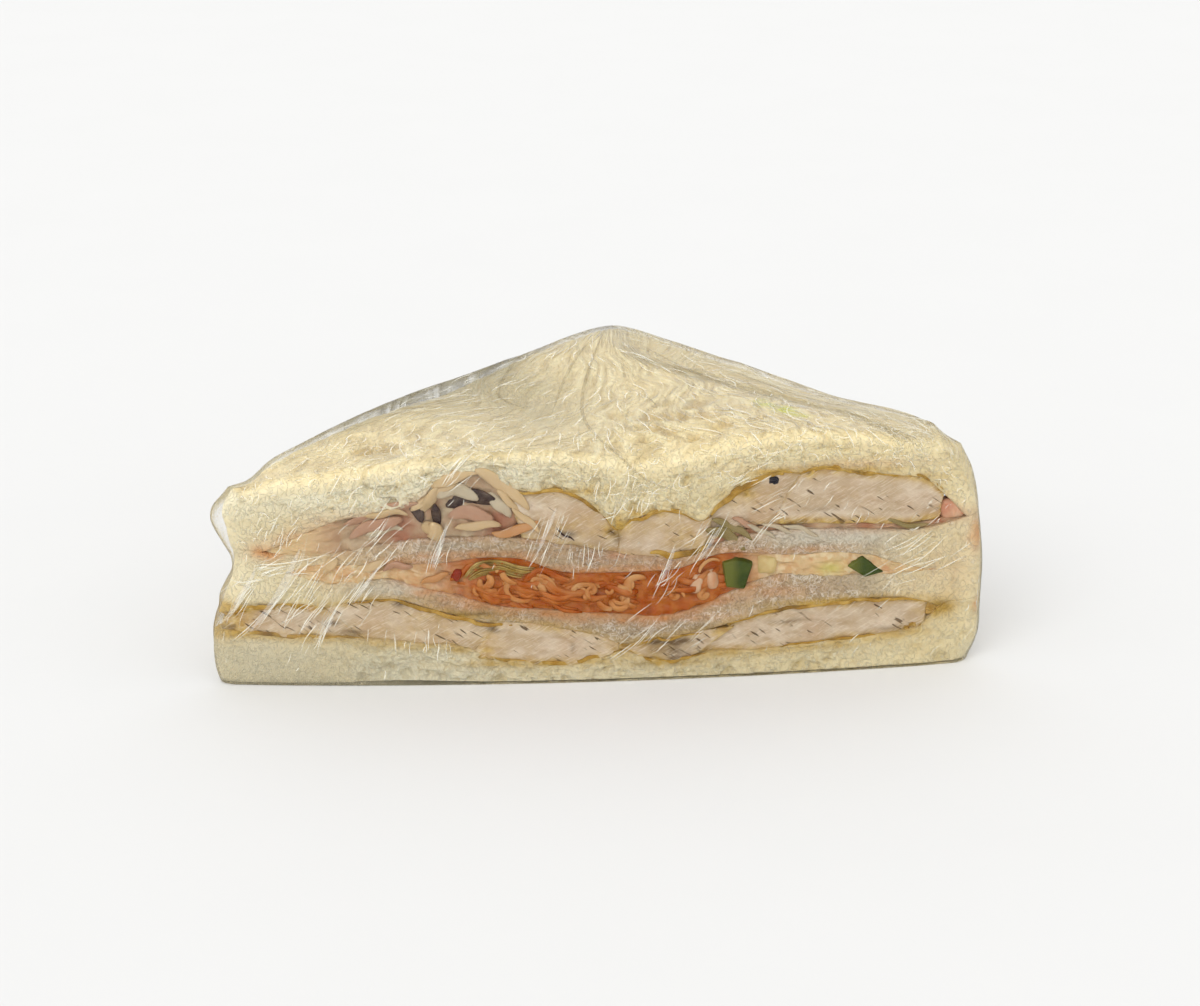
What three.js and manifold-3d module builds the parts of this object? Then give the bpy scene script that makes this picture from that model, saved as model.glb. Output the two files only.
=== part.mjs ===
// A chicken tikka sandwich, cut corner to corner and wrapped tightly in clear film.
// Four crustless slices of white bread hold three fillings: tikka chicken at the bottom,
// shredded slaw in the middle, and chicken with onion salad and tomato relish at the top.
//
// Millimetres. +X runs along the long cut face to the right, +Y goes back to the square
// corner, +Z is up. The origin is under the middle of the wrapped sandwich.

import * as THREE from "three";
import { mergeVertices } from "three/addons/utils/BufferGeometryUtils.js";
import Module from "manifold-3d";

// ---------------------------------------------------------------- driving dimensions

const LENGTH = 148; // film, from corner to corner along the cut
const DEPTH = 75; // film, from the middle of the cut to the back corner
const BACK_CORNER_X = 8; // the back corner lies a little right of the middle
const CUT_BOW = 4; // the two ends of the cut lie this far behind its middle
const BLUNT_TIP = 4; // how much of each sharp corner is pressed blunt
const BACK_ROUND = 3; // rounding of the back corner

const FILM_WALL = 0.4;
const FILM_GAP = 0.6; // film's inner face to the food
const LAYER_GAP = 0.35; // each face of a layer stays this far from the next layer's height
const GRID = 4.5; // the food's sections along X are this far apart
const SEAM = { from: -18, to: 30, row: 1 }; // the film's open seam, on the underside

// Each layer, bottom to top: its thickness at the back, and its top along the cut as [x, z].
const LAYERS = {
  bread_1: {
    back: 8.5,
    top: [
      [-72, 10.8], [-65, 9.9], [-57, 9.6], [-50, 9.2], [-42, 8.6], [-35, 8.0], [-27, 7.3],
      [-21, 5.2], [-12, 3.6], [-4, 3.5], [3, 5.6], [8, 3.9], [15, 3.1], [21, 4.7], [30, 4.8],
      [38, 5.4], [46, 6.0], [54, 6.4], [61, 7.6], [65, 10.4], [68, 12.3], [72, 12.8],
    ],
  },
  chicken_bottom: {
    back: 6.5,
    top: [
      [-72, 14.6], [-66, 15.9], [-57, 16.3], [-52, 16.0], [-47, 17.0], [-42, 17.5], [-38, 17.4],
      [-33, 15.8], [-27, 14.0], [-21, 12.5], [-15, 12.4], [-8, 11.0], [-1, 9.4], [3.5, 7.6],
      [9, 8.2], [14, 8.8], [19, 9.6], [26, 11.4], [34, 13.5], [42, 13.9], [50, 14.6],
      [57, 14.5], [62, 13.6], [65, 12.8], [68, 12.5], [72, 12.8],
    ],
  },
  bread_2: {
    back: 5.5,
    top: [
      [-72, 23.2], [-60, 22.8], [-53, 21.2], [-46, 20.8], [-40, 21.4], [-34, 19.6], [-27, 17.9],
      [-21, 16.0], [-12, 14.9], [-4, 14.0], [3, 13.6], [10, 12.8], [16, 13.6], [21, 15.6],
      [26, 17.9], [34, 20.4], [42, 19.9], [49, 19.6], [57, 19.6], [64, 19.8], [72, 19.8],
    ],
  },
  slaw: {
    back: 5.8,
    top: [
      [-72, 23.3], [-60, 23.4], [-53, 25.0], [-46, 24.6], [-38, 24.8], [-30, 24.9], [-23, 25.9],
      [-15, 25.5], [-8, 22.9], [0, 22.4], [7, 22.4], [15, 22.9], [21, 25.2], [26, 25.6],
      [31, 25.0], [37, 24.6], [47, 24.4], [52, 23.4], [57, 21.6], [64, 20.0], [72, 19.9],
    ],
  },
  bread_3: {
    back: 5.0,
    top: [
      [-72, 27.6], [-64, 26.8], [-56, 26.4], [-49, 26.9], [-41, 28.4], [-34, 29.5], [-27, 29.8],
      [-19, 29.9], [-12, 29.0], [-4, 27.4], [3, 26.1], [10, 25.0], [17, 25.2], [22, 27.2],
      [28, 28.8], [37, 29.4], [45, 29.1], [53, 28.6], [61, 28.3], [67, 29.2], [72, 30.4],
    ],
  },
  chicken_top: {
    back: 8.0,
    top: [
      [-72, 27.7], [-64, 28.9], [-56, 31.3], [-49, 33.6], [-41, 35.0], [-35, 37.0], [-31, 39.9],
      [-26, 42.9], [-21, 42.6], [-16, 39.6], [-12, 38.9], [-8, 39.1], [-4, 37.8], [0, 34.2],
      [3, 31.0], [6, 33.0], [11, 34.6], [15, 34.0], [19, 32.4], [22, 35.8], [27, 39.6],
      [33, 41.6], [37, 41.2], [41, 42.2], [48, 40.9], [56, 39.7], [62, 38.4], [66, 35.4],
      [69, 33.2], [72, 31.6],
    ],
  },
  bread_4: {
    back: 8.5,
    top: [
      [-70, 40.0], [-50, 43.2], [-30, 45.9], [-10, 47.1], [10, 47.0], [30, 49.4], [50, 48.4],
      [70, 43.8],
    ],
  },
};
const LAYER_NAMES = Object.keys(LAYERS);
const RELISH = 2.4; // tomato relish spread under the right half of the upper chicken
const RELISH_FROM = 19.4; // where the relish starts along the cut

// The dent that the film bridges, between the two humps of the top slice.
const DENT = { x: -13, y: -6, across: 13, along: 17, deep: 3.6 };

// Slices of chicken, side by side along the cut: from, to, and how proud each one stands.
const BOTTOM_CHICKEN = [
  { from: -71.0, to: -50.8, proud: 0.3 },
  { from: -50.0, to: -22.4, proud: 0.0 },
  { from: -21.6, to: 3.8, proud: 0.4 },
  { from: 4.6, to: 21.2, proud: -0.4 },
  { from: 22.0, to: 65.0, proud: 0.2 },
];
const TOP_CHICKEN = [
  { from: -17.0, to: 3.2, proud: 0.2 },
  { from: 4.0, to: 18.8, proud: -0.3 },
  { from: 19.6, to: 34.8, proud: 0.0 },
  { from: 35.6, to: 66.0, proud: 0.4 },
];

const COLOURS = {
  crumb: 0xe0d8b6,
  pressed: 0xc3b7a2,
  chicken: 0xd8bf9c,
  slaw: 0xc9722f,
  salad: 0xcbb196,
  relish: 0xc08a6c,
  capsicum: 0x4e6a22,
  corn: 0xe6d9a8,
  onion: 0xe6cdb4,
  tomato: 0xd0705a,
  film: 0xdcdcd0,
};

const { max, min, abs, sqrt, sin, cos, exp, PI } = Math;

// ---------------------------------------------------------------- small mathematics

const mix = (a, b, t) => a + (b - a) * t;
const clamp = (v, low, high) => min(high, max(low, v));
const ease = (a, b, v) => THREE.MathUtils.smoothstep(v, a, b);
const bell = (v, centre, spread) => exp(-(((v - centre) / spread) ** 2));

// A smooth curve z(x) through [x, z] points: cubics that take each point's slope from its
// neighbours, held level beyond the first and the last.
function curve(points) {
  const at = (i) => points[clamp(i, 0, points.length - 1)];
  const steep = (a, b) => (b[1] - a[1]) / (b[0] - a[0]);
  const slopes = points.map((p, i) => {
    if (i === 0) return steep(p, at(1));
    if (i === points.length - 1) return steep(at(i - 1), p);
    const [before, after] = [p[0] - at(i - 1)[0], at(i + 1)[0] - p[0]];
    return (steep(at(i - 1), p) * after + steep(p, at(i + 1)) * before) / (before + after);
  });
  return (x) => {
    const next = points.findIndex((p) => p[0] >= x);
    const k = next < 0 ? points.length - 2 : clamp(next - 1, 0, points.length - 2);
    const [run, rise] = [at(k + 1)[0] - at(k)[0], at(k + 1)[1] - at(k)[1]];
    const t = clamp((x - at(k)[0]) / run, 0, 1);
    const [start, end] = [slopes[k] * run - rise, rise - slopes[k + 1] * run];
    return at(k)[1] + rise * t + t * (1 - t) * ((1 - t) * start + t * end);
  };
}

// 1 in the middle of a piece, falling to 0 round its end over the distance r.
const roundEnd = (fromEnd, r) => (fromEnd >= r ? 1 : sqrt(1 - (1 - fromEnd / r) ** 2));

// ---------------------------------------------------------------- plan and heights

const FRONT = -DEPTH / 2;
const BACK = DEPTH / 2;
const CORNER_Y = FRONT + CUT_BOW;

const cutLine = (x) => FRONT + CUT_BOW * ((2 * x) / LENGTH) ** 2;

// The two straight back sides, blended where they meet at the back corner.
function backLine(x) {
  const reach = LENGTH / 2 + BLUNT_TIP;
  const peak = BACK + BACK_ROUND - CORNER_Y;
  const left = (peak * (x + reach)) / (BACK_CORNER_X + reach);
  const right = (peak * (reach - x)) / (reach - BACK_CORNER_X);
  return CORNER_Y + (left + right) / 2 - sqrt(((left - right) / 2) ** 2 + BACK_ROUND ** 2);
}

const TOPS_AT_CUT = LAYER_NAMES.map((name) => curve(LAYERS[name].top));

// Height of the top of the first `count` layers, easing from its curve at the cut to the sum
// of the thicknesses at the back.
function heightOf(count, x, y) {
  if (count === 0) return 0;
  const atBack = LAYER_NAMES.slice(0, count).reduce((sum, name) => sum + LAYERS[name].back, 0);
  return mix(TOPS_AT_CUT[count - 1](x), atBack, ease(0.05, 0.95, (y - FRONT) / DEPTH));
}

const layerLow = (name) => (x, y) => heightOf(LAYER_NAMES.indexOf(name), x, y) + LAYER_GAP;
const layerHigh = (name) => (x, y) => heightOf(LAYER_NAMES.indexOf(name) + 1, x, y) - LAYER_GAP;
const dent = (x, y) => DENT.deep * bell(x, DENT.x, DENT.across) * bell(y, DENT.y, DENT.along);
const filmTop = (x, y) => heightOf(LAYER_NAMES.length, x, y) - 0.35 * dent(x, y);

// ---------------------------------------------------------------- lofted bodies

// One closed cross-section at x, as [y, z] points: along the underside from front to back,
// up the back, along the top to the front, and down the cut, with its four edges eased.
function section(shape, x) {
  const nose = roundEnd(min(x - shape.from, shape.to - x), shape.nose);
  const lip = roundEnd(min(x - shape.from, shape.to - x), shape.lip);
  const middle = (shape.front(x) + shape.back(x)) / 2;
  const front = mix(middle, shape.front(x), nose);
  const back = mix(middle, shape.back(x), nose);
  const level = (y) => (shape.low(x, y) + shape.high(x, y)) / 2;
  const low = (y) => mix(level(y), shape.low(x, y), lip);
  const high = (y) => mix(level(y), shape.high(x, y), lip);
  const room = min(back - front, high(middle) - low(middle)) * 0.42;
  const under = min(shape.underEdge, room);
  const over = min(shape.overEdge, room);
  const points = [];
  for (const v of shape.rows) {
    const y = mix(front + under, back - under, v);
    points.push([y, low(y)]);
  }
  points.push([back, low(back) + under]);
  points.push([back, high(back) - over]);
  if (shape.softTop) points.push([back - 0.29 * over, high(back) - 0.29 * over]);
  for (const v of [...shape.rows].reverse()) {
    const y = mix(front + over, back - over, v);
    points.push([y, high(y)]);
  }
  if (shape.softTop) points.push([front + 0.29 * over, high(front) - 0.29 * over]);
  points.push([front, high(front) - over]);
  points.push([front, low(front) + under]);
  return points;
}

// Places of the sections along X: close together round both ends, and between them on a grid
// that all the pieces share, so that neighbours turn at the same places. The grid's place
// nearest the back corner moves onto it.
function sectionPlaces(shape) {
  const ends = [0.08, 0.4, 1].map((part) => part * shape.nose);
  const [first, last] = [shape.from + shape.nose, shape.to - shape.nose];
  const between = [];
  for (let i = Math.ceil(first / shape.step); i * shape.step <= last; i++) {
    const x = i * shape.step;
    const place = abs(x - BACK_CORNER_X) <= shape.step / 2 ? BACK_CORNER_X : x;
    if (place - first > 0.4 && last - place > 0.4) between.push(place);
  }
  return [
    ...ends.map((d) => shape.from + d),
    ...between,
    ...ends.reverse().map((d) => shape.to - d),
  ];
}

// Vertices of every section in turn, followed by the two end points.
function loftPoints(shape) {
  const places = sectionPlaces(shape);
  const rings = places.map((x) => section(shape, x).map(([y, z]) => [x, y, z]));
  const endPoint = (x, ring) => [
    x,
    ring.reduce((sum, p) => sum + p[1], 0) / ring.length,
    ring.reduce((sum, p) => sum + p[2], 0) / ring.length,
  ];
  const start = endPoint(shape.from, rings[0]);
  const end = endPoint(shape.to, rings[rings.length - 1]);
  return { places, size: rings[0].length, points: [...rings.flat(), start, end] };
}

// Faces between neighbouring sections, and a fan at each end. skip(i, j) leaves a hole.
function loftFaces({ places, size }, skip = () => false) {
  const faces = [];
  const at = (i, j) => i * size + (j % size);
  const [start, end] = [places.length * size, places.length * size + 1];
  for (let i = 0; i + 1 < places.length; i++) {
    for (let j = 0; j < size; j++) {
      if (skip(i, j)) continue;
      faces.push([at(i, j), at(i, j + 1), at(i + 1, j)]);
      faces.push([at(i, j + 1), at(i + 1, j + 1), at(i + 1, j)]);
    }
  }
  for (let j = 0; j < size; j++) {
    faces.push([start, at(0, j + 1), at(0, j)]);
    faces.push([end, at(places.length - 1, j), at(places.length - 1, j + 1)]);
  }
  return faces;
}

function geometryOf(points, faces) {
  const geometry = new THREE.BufferGeometry();
  geometry.setAttribute("position", new THREE.Float32BufferAttribute(points.flat(), 3));
  geometry.setIndex(faces.flat());
  geometry.computeVertexNormals();
  return geometry;
}

function loft(shape) {
  const body = loftPoints(shape);
  return geometryOf(body.points, loftFaces(body));
}

// ---------------------------------------------------------------- joining and cutting

const wasm = await Module();
wasm.setup();

function toSolid(geometry) {
  const bare = new THREE.BufferGeometry();
  bare.setAttribute("position", geometry.getAttribute("position").clone());
  if (geometry.index) bare.setIndex(geometry.index);
  const merged = mergeVertices(bare, 1e-4);
  return new wasm.Manifold(
    new wasm.Mesh({
      numProp: 3,
      vertProperties: new Float32Array(merged.getAttribute("position").array),
      triVerts: new Uint32Array(merged.index.array),
    }),
  );
}

function fromSolid(solid) {
  const mesh = solid.getMesh();
  const geometry = new THREE.BufferGeometry();
  geometry.setAttribute("position", new THREE.BufferAttribute(mesh.vertProperties, 3));
  geometry.setIndex(new THREE.BufferAttribute(mesh.triVerts, 1));
  geometry.computeVertexNormals();
  return geometry;
}

const join = (solids) => solids.reduce((whole, piece) => whole.add(piece));
const cutOut = (solid, tools) => tools.reduce((rest, tool) => rest.subtract(tool), solid);

// ---------------------------------------------------------------- bread

const BREAD_ROWS = [0, 0.25, 0.5, 0.75, 1]; // places of a section's points, front to back
const FILLING_ROWS = [0, 0.3, 0.65, 1];
const FOOD_INSET = FILM_WALL + FILM_GAP;
const SIDE_INSET = FOOD_INSET * 1.35; // the same distance, measured along Y on a slanting side
const TIP_INSET = FOOD_INSET * 2; // and measured along X at a blunt corner

function breadShape(name, recess) {
  const reach = LENGTH / 2 - TIP_INSET - 0.3 * recess;
  return {
    from: -reach,
    to: reach,
    front: (x) => cutLine(x) + FOOD_INSET + recess,
    back: (x) => backLine(x) - SIDE_INSET - recess,
    low: layerLow(name),
    high: layerHigh(name),
    nose: 5,
    lip: 1.4,
    underEdge: 0.7,
    overEdge: 0.7,
    rows: BREAD_ROWS,
    step: GRID,
  };
}

function bottomSlice() {
  return loft({ ...breadShape("bread_1", 0), low: () => FILM_WALL + LAYER_GAP, underEdge: 1.2 });
}

const innerSlice = (name) => loft(breadShape(name, 0.3));

// The top slice keeps its two humps, with the dent between them and soft upper edges.
function topSlice() {
  const shape = breadShape("bread_4", 0);
  const high = (x, y) => heightOf(LAYER_NAMES.length, x, y) - FOOD_INSET - dent(x, y);
  return loft({ ...shape, high, overEdge: 2.6, softTop: true });
}

// ---------------------------------------------------------------- chicken and relish

// A slice of chicken that runs back from the cut, between the heights of its own layer.
function chickenSlice({ from, to, proud }, low, high) {
  const ripple = (x) => 0.35 * sin(x * 1.1) + 0.2 * sin(x * 2.7 + 1);
  return loft({
    from,
    to,
    front: (x) => cutLine(x) + FOOD_INSET + 0.9 - proud + ripple(x),
    back: (x) => backLine(x) - SIDE_INSET - 1.6,
    low,
    high,
    nose: 2.4,
    lip: 2.4,
    underEdge: 1.4,
    overEdge: 1.4,
    rows: FILLING_ROWS,
    step: GRID,
  });
}

const relishTop = (x, y) => layerLow("chicken_top")(x, y) + RELISH;
const aboveRelish = (x, y) => relishTop(x, y) + LAYER_GAP;

function relishSpread() {
  return loft({
    from: RELISH_FROM,
    to: 66.2,
    front: (x) => cutLine(x) + FOOD_INSET + 1.1 + 0.3 * sin(x * 0.9),
    back: (x) => backLine(x) - SIDE_INSET - 2.2,
    low: layerLow("chicken_top"),
    high: relishTop,
    nose: 2,
    lip: 2,
    underEdge: 0.8,
    overEdge: 0.8,
    rows: FILLING_ROWS,
    step: GRID,
  });
}

// ---------------------------------------------------------------- loose pieces

// A lump with flattened sides: a sphere pushed towards a box by its squareness.
function lump({ x, z, behind, size, tilt = 0, square = 0.4 }) {
  const ball = new THREE.SphereGeometry(1, 10, 7);
  const place = ball.getAttribute("position");
  const point = new THREE.Vector3();
  for (let i = 0; i < place.count; i++) {
    point.fromBufferAttribute(place, i);
    const widest = max(abs(point.x), abs(point.y), abs(point.z));
    point.multiplyScalar(mix(1, 1 / widest, square));
    place.setXYZ(i, (point.x * size[0]) / 2, (point.y * size[1]) / 2, (point.z * size[2]) / 2);
  }
  ball.rotateY(tilt);
  ball.translate(x, cutLine(x) + FOOD_INSET + behind + size[1] / 2, z);
  ball.deleteAttribute("normal");
  ball.deleteAttribute("uv");
  return ball;
}

// A prism cut from a pepper: a face with uneven corners, running back from the cut.
function pepperPiece({ x, z, corners, length }) {
  const face = new THREE.Shape(corners.map(([across, up]) => new THREE.Vector2(across, up)));
  const prism = new THREE.ExtrudeGeometry(face, {
    depth: length,
    steps: 2,
    bevelThickness: 0.35,
    bevelSize: 0.35,
    bevelOffset: -0.35,
    bevelSegments: 1,
  });
  prism.rotateX(PI / 2);
  prism.translate(x, cutLine(x) + FOOD_INSET + 0.7 + length, z);
  return prism;
}

// A shred is a flat strip along a wavy path through [x, y, z] points.
function shred(path, width, thick) {
  const face = new THREE.Shape();
  face.moveTo(-thick / 2, -width / 2);
  face.lineTo(thick / 2, -width / 2);
  face.lineTo(thick / 2, width / 2);
  face.lineTo(-thick / 2, width / 2);
  face.closePath();
  const curve = new THREE.CatmullRomCurve3(path.map((p) => new THREE.Vector3(...p)));
  return new THREE.ExtrudeGeometry(face, { extrudePath: curve, steps: 4, bevelEnabled: false });
}

// Shreds laid along a face of the heap. line(x) is the face, inward the way into the heap.
function shredsAlong({ from, to, count, line, inward, low, high, width }) {
  const shreds = [];
  for (let i = 0; i < count; i++) {
    const turn = i * 2.399;
    const half = 4.5 + 1.8 * sin(turn * 1.7);
    const x = mix(from + half, to - half, count > 1 ? i / (count - 1) : 0.5);
    const path = [-1, -0.3, 0.4, 1].map((step) => {
      const px = x + half * step;
      const py = line(px) + inward * (0.8 + 0.6 * step * step);
      const room = high(px, py) - low(px, py) - 2 * width;
      const rise = 0.5 + 0.34 * sin(turn) + 0.16 * sin(step * 2.2 + turn * 3);
      return [px, py, low(px, py) + width + max(0, room) * clamp(rise, 0, 1)];
    });
    shreds.push(shred(path, width, 1.0));
  }
  return shreds;
}

// Pieces of pepper: middle along the cut, corners of the face about it, and length.
const PEPPERS = [
  { x: 25.8, corners: [[-2.4, -2.8], [1.4, -3.0], [3.0, 2.2], [-0.6, 2.9], [-3.0, 2.4]], length: 7 },
  { x: 50.2, corners: [[-3.3, 0.2], [0.2, -1.7], [3.6, -1.0], [-0.8, 1.7]], length: 6 },
];
const CORN = { x: 32.2, behind: 0.6, size: [4.0, 5.0, 3.4], square: 0.25 };
const ONION = { x: 19.6, behind: 0.5, size: [4.2, 5.0, 3.6], tilt: 0.25, square: 0.45 };
const TOMATO = { x: 69.4, behind: 0.5, size: [3.6, 3.4, 2.6], square: 0.3 };

// Height of the middle of a filling layer, just behind the cut at x.
function midLayer(name, x) {
  const y = cutLine(x) + FOOD_INSET + 3;
  return (layerLow(name)(x, y) + layerHigh(name)(x, y)) / 2;
}

const placed = (piece, layer) => ({ ...piece, z: midLayer(layer, piece.x) });

// The same piece made larger by the clearance, to cut its seat in the slaw.
function seatOf(geometry, clearance) {
  const box = new THREE.Box3().setFromBufferAttribute(geometry.getAttribute("position"));
  const centre = box.getCenter(new THREE.Vector3());
  const size = box.getSize(new THREE.Vector3());
  const larger = geometry.clone();
  larger.translate(-centre.x, -centre.y, -centre.z);
  larger.scale(...size.toArray().map((side) => (side + 2 * clearance) / side));
  return larger.translate(centre.x, centre.y, centre.z);
}

// ---------------------------------------------------------------- heaps

const heapFront = (x) => cutLine(x) + FOOD_INSET;
const heapBack = (x) => backLine(x) - SIDE_INSET;

// A core between two heights, with shreds fused on where its edges show.
function heap({ from, to, low, high, inset, shreds }) {
  const core = loft({
    from,
    to,
    front: (x) => heapFront(x) + inset,
    back: (x) => heapBack(x) - inset - 1,
    low,
    high,
    nose: 2.5,
    lip: 3,
    underEdge: 1,
    overEdge: 1,
    rows: FILLING_ROWS,
    step: GRID,
  });
  return join([core, ...shreds].map(toSolid));
}

function slawHeap(seats) {
  const [low, high] = [layerLow("slaw"), layerHigh("slaw")];
  const common = { low, high, width: 1.3 };
  const shreds = [
    ...shredsAlong({ ...common, from: -40, to: 18, count: 13, line: heapFront, inward: 1 }),
    ...shredsAlong({ ...common, from: -36, to: 0, count: 5, line: heapBack, inward: -1.5 }),
    ...shredsAlong({ ...common, from: 16, to: 52, count: 5, line: heapBack, inward: -1.5 }),
  ];
  const body = heap({ from: -56, to: 58, low, high, inset: 1.5, shreds });
  return fromSolid(cutOut(body, seats.map(toSolid)));
}

function saladHeap() {
  const [low, high] = [layerLow("chicken_top"), layerHigh("chicken_top")];
  const common = { low, high, width: 1.5 };
  const shreds = [
    ...shredsAlong({ ...common, from: -60, to: -20, count: 9, line: heapFront, inward: 1 }),
    ...shredsAlong({ ...common, from: -52, to: -20, count: 4, line: heapBack, inward: -1.5 }),
  ];
  return fromSolid(heap({ from: -66, to: -17.8, low, high, inset: 1.4, shreds }));
}

// ---------------------------------------------------------------- film

function filmShape(inset) {
  return {
    from: -LENGTH / 2 + inset,
    to: LENGTH / 2 - inset,
    front: (x) => cutLine(x) + inset,
    back: (x) => backLine(x) - 1.35 * inset,
    low: () => inset,
    high: (x, y) => filmTop(x, y) - inset,
    nose: 5,
    lip: 1.6,
    underEdge: 1.2,
    overEdge: 2.6,
    softTop: true,
    rows: [0, 0.2, 0.25, 0.5, 0.75, 1],
    step: 6.5,
  };
}

// A thin wall round the whole sandwich, left open along the seam in its underside.
function filmWrap() {
  const outer = loftPoints(filmShape(0));
  const inner = loftPoints(filmShape(FILM_WALL));
  const { places, size } = outer;
  const inSeam = (i) => places[i] >= SEAM.from && places[i + 1] <= SEAM.to;
  const skip = (i, j) => j === SEAM.row && inSeam(i);
  const shift = outer.points.length;
  const faces = loftFaces(outer, skip);
  for (const [a, b, c] of loftFaces(inner, skip)) faces.push([a + shift, c + shift, b + shift]);
  const wall = (a, b) => {
    faces.push([a, b, b + shift]);
    faces.push([a, b + shift, a + shift]);
  };
  const at = (i, j) => i * size + j;
  const [near, far] = [SEAM.row, SEAM.row + 1];
  for (let i = 0; i + 1 < places.length; i++) {
    if (!inSeam(i)) continue;
    wall(at(i + 1, near), at(i, near));
    wall(at(i, far), at(i + 1, far));
    if (!inSeam(i - 1)) wall(at(i, near), at(i, far));
    if (!inSeam(i + 1)) wall(at(i + 1, far), at(i + 1, near));
  }
  return geometryOf([...outer.points, ...inner.points], faces);
}

// ---------------------------------------------------------------- assembly

const sandwich = new THREE.Group();

function addPiece(group, name, geometry, color, roughness) {
  const material = new THREE.MeshStandardMaterial({ color, roughness, metalness: 0 });
  const mesh = new THREE.Mesh(geometry, material);
  mesh.name = name;
  group.add(mesh);
  return mesh;
}

function addBread() {
  const bread = new THREE.Group();
  addPiece(bread, "bread_1", bottomSlice(), COLOURS.crumb, 0.9);
  addPiece(bread, "bread_2", innerSlice("bread_2"), COLOURS.pressed, 0.85);
  addPiece(bread, "bread_3", innerSlice("bread_3"), COLOURS.pressed, 0.85);
  addPiece(bread, "bread_4", topSlice(), COLOURS.crumb, 0.9);
  sandwich.add(bread);
}

function addChicken() {
  const chicken = new THREE.Group();
  BOTTOM_CHICKEN.forEach((slice, i) => {
    const body = chickenSlice(slice, layerLow("chicken_bottom"), layerHigh("chicken_bottom"));
    addPiece(chicken, `chicken_bottom_${i + 1}`, body, COLOURS.chicken, 0.55);
  });
  TOP_CHICKEN.forEach((slice, i) => {
    const low = slice.from > RELISH_FROM ? aboveRelish : layerLow("chicken_top");
    const body = chickenSlice(slice, low, layerHigh("chicken_top"));
    addPiece(chicken, `chicken_top_${i + 1}`, body, COLOURS.chicken, 0.55);
  });
  sandwich.add(chicken);
}

function addFillings() {
  const fillings = new THREE.Group();
  const peppers = PEPPERS.map((piece) => pepperPiece(placed(piece, "slaw")));
  const corn = lump(placed(CORN, "slaw"));
  const onion = lump(placed(ONION, "slaw"));
  const seats = [...peppers, corn, onion].map((piece) => seatOf(piece, LAYER_GAP));
  addPiece(fillings, "slaw", slawHeap(seats), COLOURS.slaw, 0.4);
  peppers.forEach((piece, i) => {
    addPiece(fillings, `green_pepper_${i + 1}`, piece, COLOURS.capsicum, 0.35);
  });
  addPiece(fillings, "corn_kernel", corn, COLOURS.corn, 0.4);
  addPiece(fillings, "onion_chunk", onion, COLOURS.onion, 0.35);
  addPiece(fillings, "onion_salad", saladHeap(), COLOURS.salad, 0.45);
  addPiece(fillings, "tomato_relish", relishSpread(), COLOURS.relish, 0.4);
  addPiece(fillings, "tomato_piece", lump(placed(TOMATO, "chicken_top")), COLOURS.tomato, 0.35);
  sandwich.add(fillings);
}

addBread();
addChicken();
addFillings();
const film = addPiece(sandwich, "film", filmWrap(), COLOURS.film, 0.12);
film.material.transparent = true;
film.material.opacity = 0.3;

export default sandwich;
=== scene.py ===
"""A chicken tikka sandwich in clear film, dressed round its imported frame.

Lengths are millimetres here and the meshes are made in metres. X runs along the cut to the
right, Y goes back to the square corner, Z is up.
"""

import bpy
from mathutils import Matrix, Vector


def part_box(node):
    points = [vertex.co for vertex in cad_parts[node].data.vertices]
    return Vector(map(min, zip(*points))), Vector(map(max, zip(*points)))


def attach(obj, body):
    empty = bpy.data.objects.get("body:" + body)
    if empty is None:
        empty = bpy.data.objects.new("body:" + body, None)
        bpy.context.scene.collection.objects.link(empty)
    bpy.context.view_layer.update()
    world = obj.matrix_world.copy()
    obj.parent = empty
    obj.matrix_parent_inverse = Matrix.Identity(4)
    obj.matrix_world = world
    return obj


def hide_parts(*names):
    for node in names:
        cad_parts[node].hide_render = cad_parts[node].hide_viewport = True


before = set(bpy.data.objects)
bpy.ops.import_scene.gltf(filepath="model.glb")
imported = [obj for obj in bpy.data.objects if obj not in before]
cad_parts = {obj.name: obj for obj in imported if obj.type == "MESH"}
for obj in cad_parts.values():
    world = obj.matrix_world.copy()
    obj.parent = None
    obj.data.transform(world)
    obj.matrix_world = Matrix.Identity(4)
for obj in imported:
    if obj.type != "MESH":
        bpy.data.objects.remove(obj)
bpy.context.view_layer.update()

from itertools import product

import bpy
import numpy as np
from bpy.props import FloatProperty, FloatVectorProperty, IntProperty, PointerProperty
from mathutils import Vector

bl_info = {
    "name": "Wrapped Tikka Sandwich",
    "version": (1, 0, 0),
    "blender": (4, 5, 0),
    "location": "View3D > Sidebar > Sandwich",
    "description": "Builds half a tikka sandwich, its fillings and its clear film",
    "category": "Add Mesh",
}

MM = 0.001
BODY = "root"


# ---------------------------------------------------------------- plan and layers

FILM_LOW, FILM_HIGH = (np.array(corner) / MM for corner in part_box("film"))
LENGTH = FILM_HIGH[0] - FILM_LOW[0]
FRONT, BACK = FILM_LOW[1], FILM_HIGH[1]
DEPTH = BACK - FRONT
BACK_CORNER_X = 8.0
CUT_BOW = 4.0
BLUNT_TIP = 4.0
BACK_ROUND = 3.0
CORNER_Y = FRONT + CUT_BOW

FOOD_INSET = 1.2  # the food's faces behind the film's outer face
SIDE_INSET = 1.5
TIP_INSET = 0.8

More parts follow.
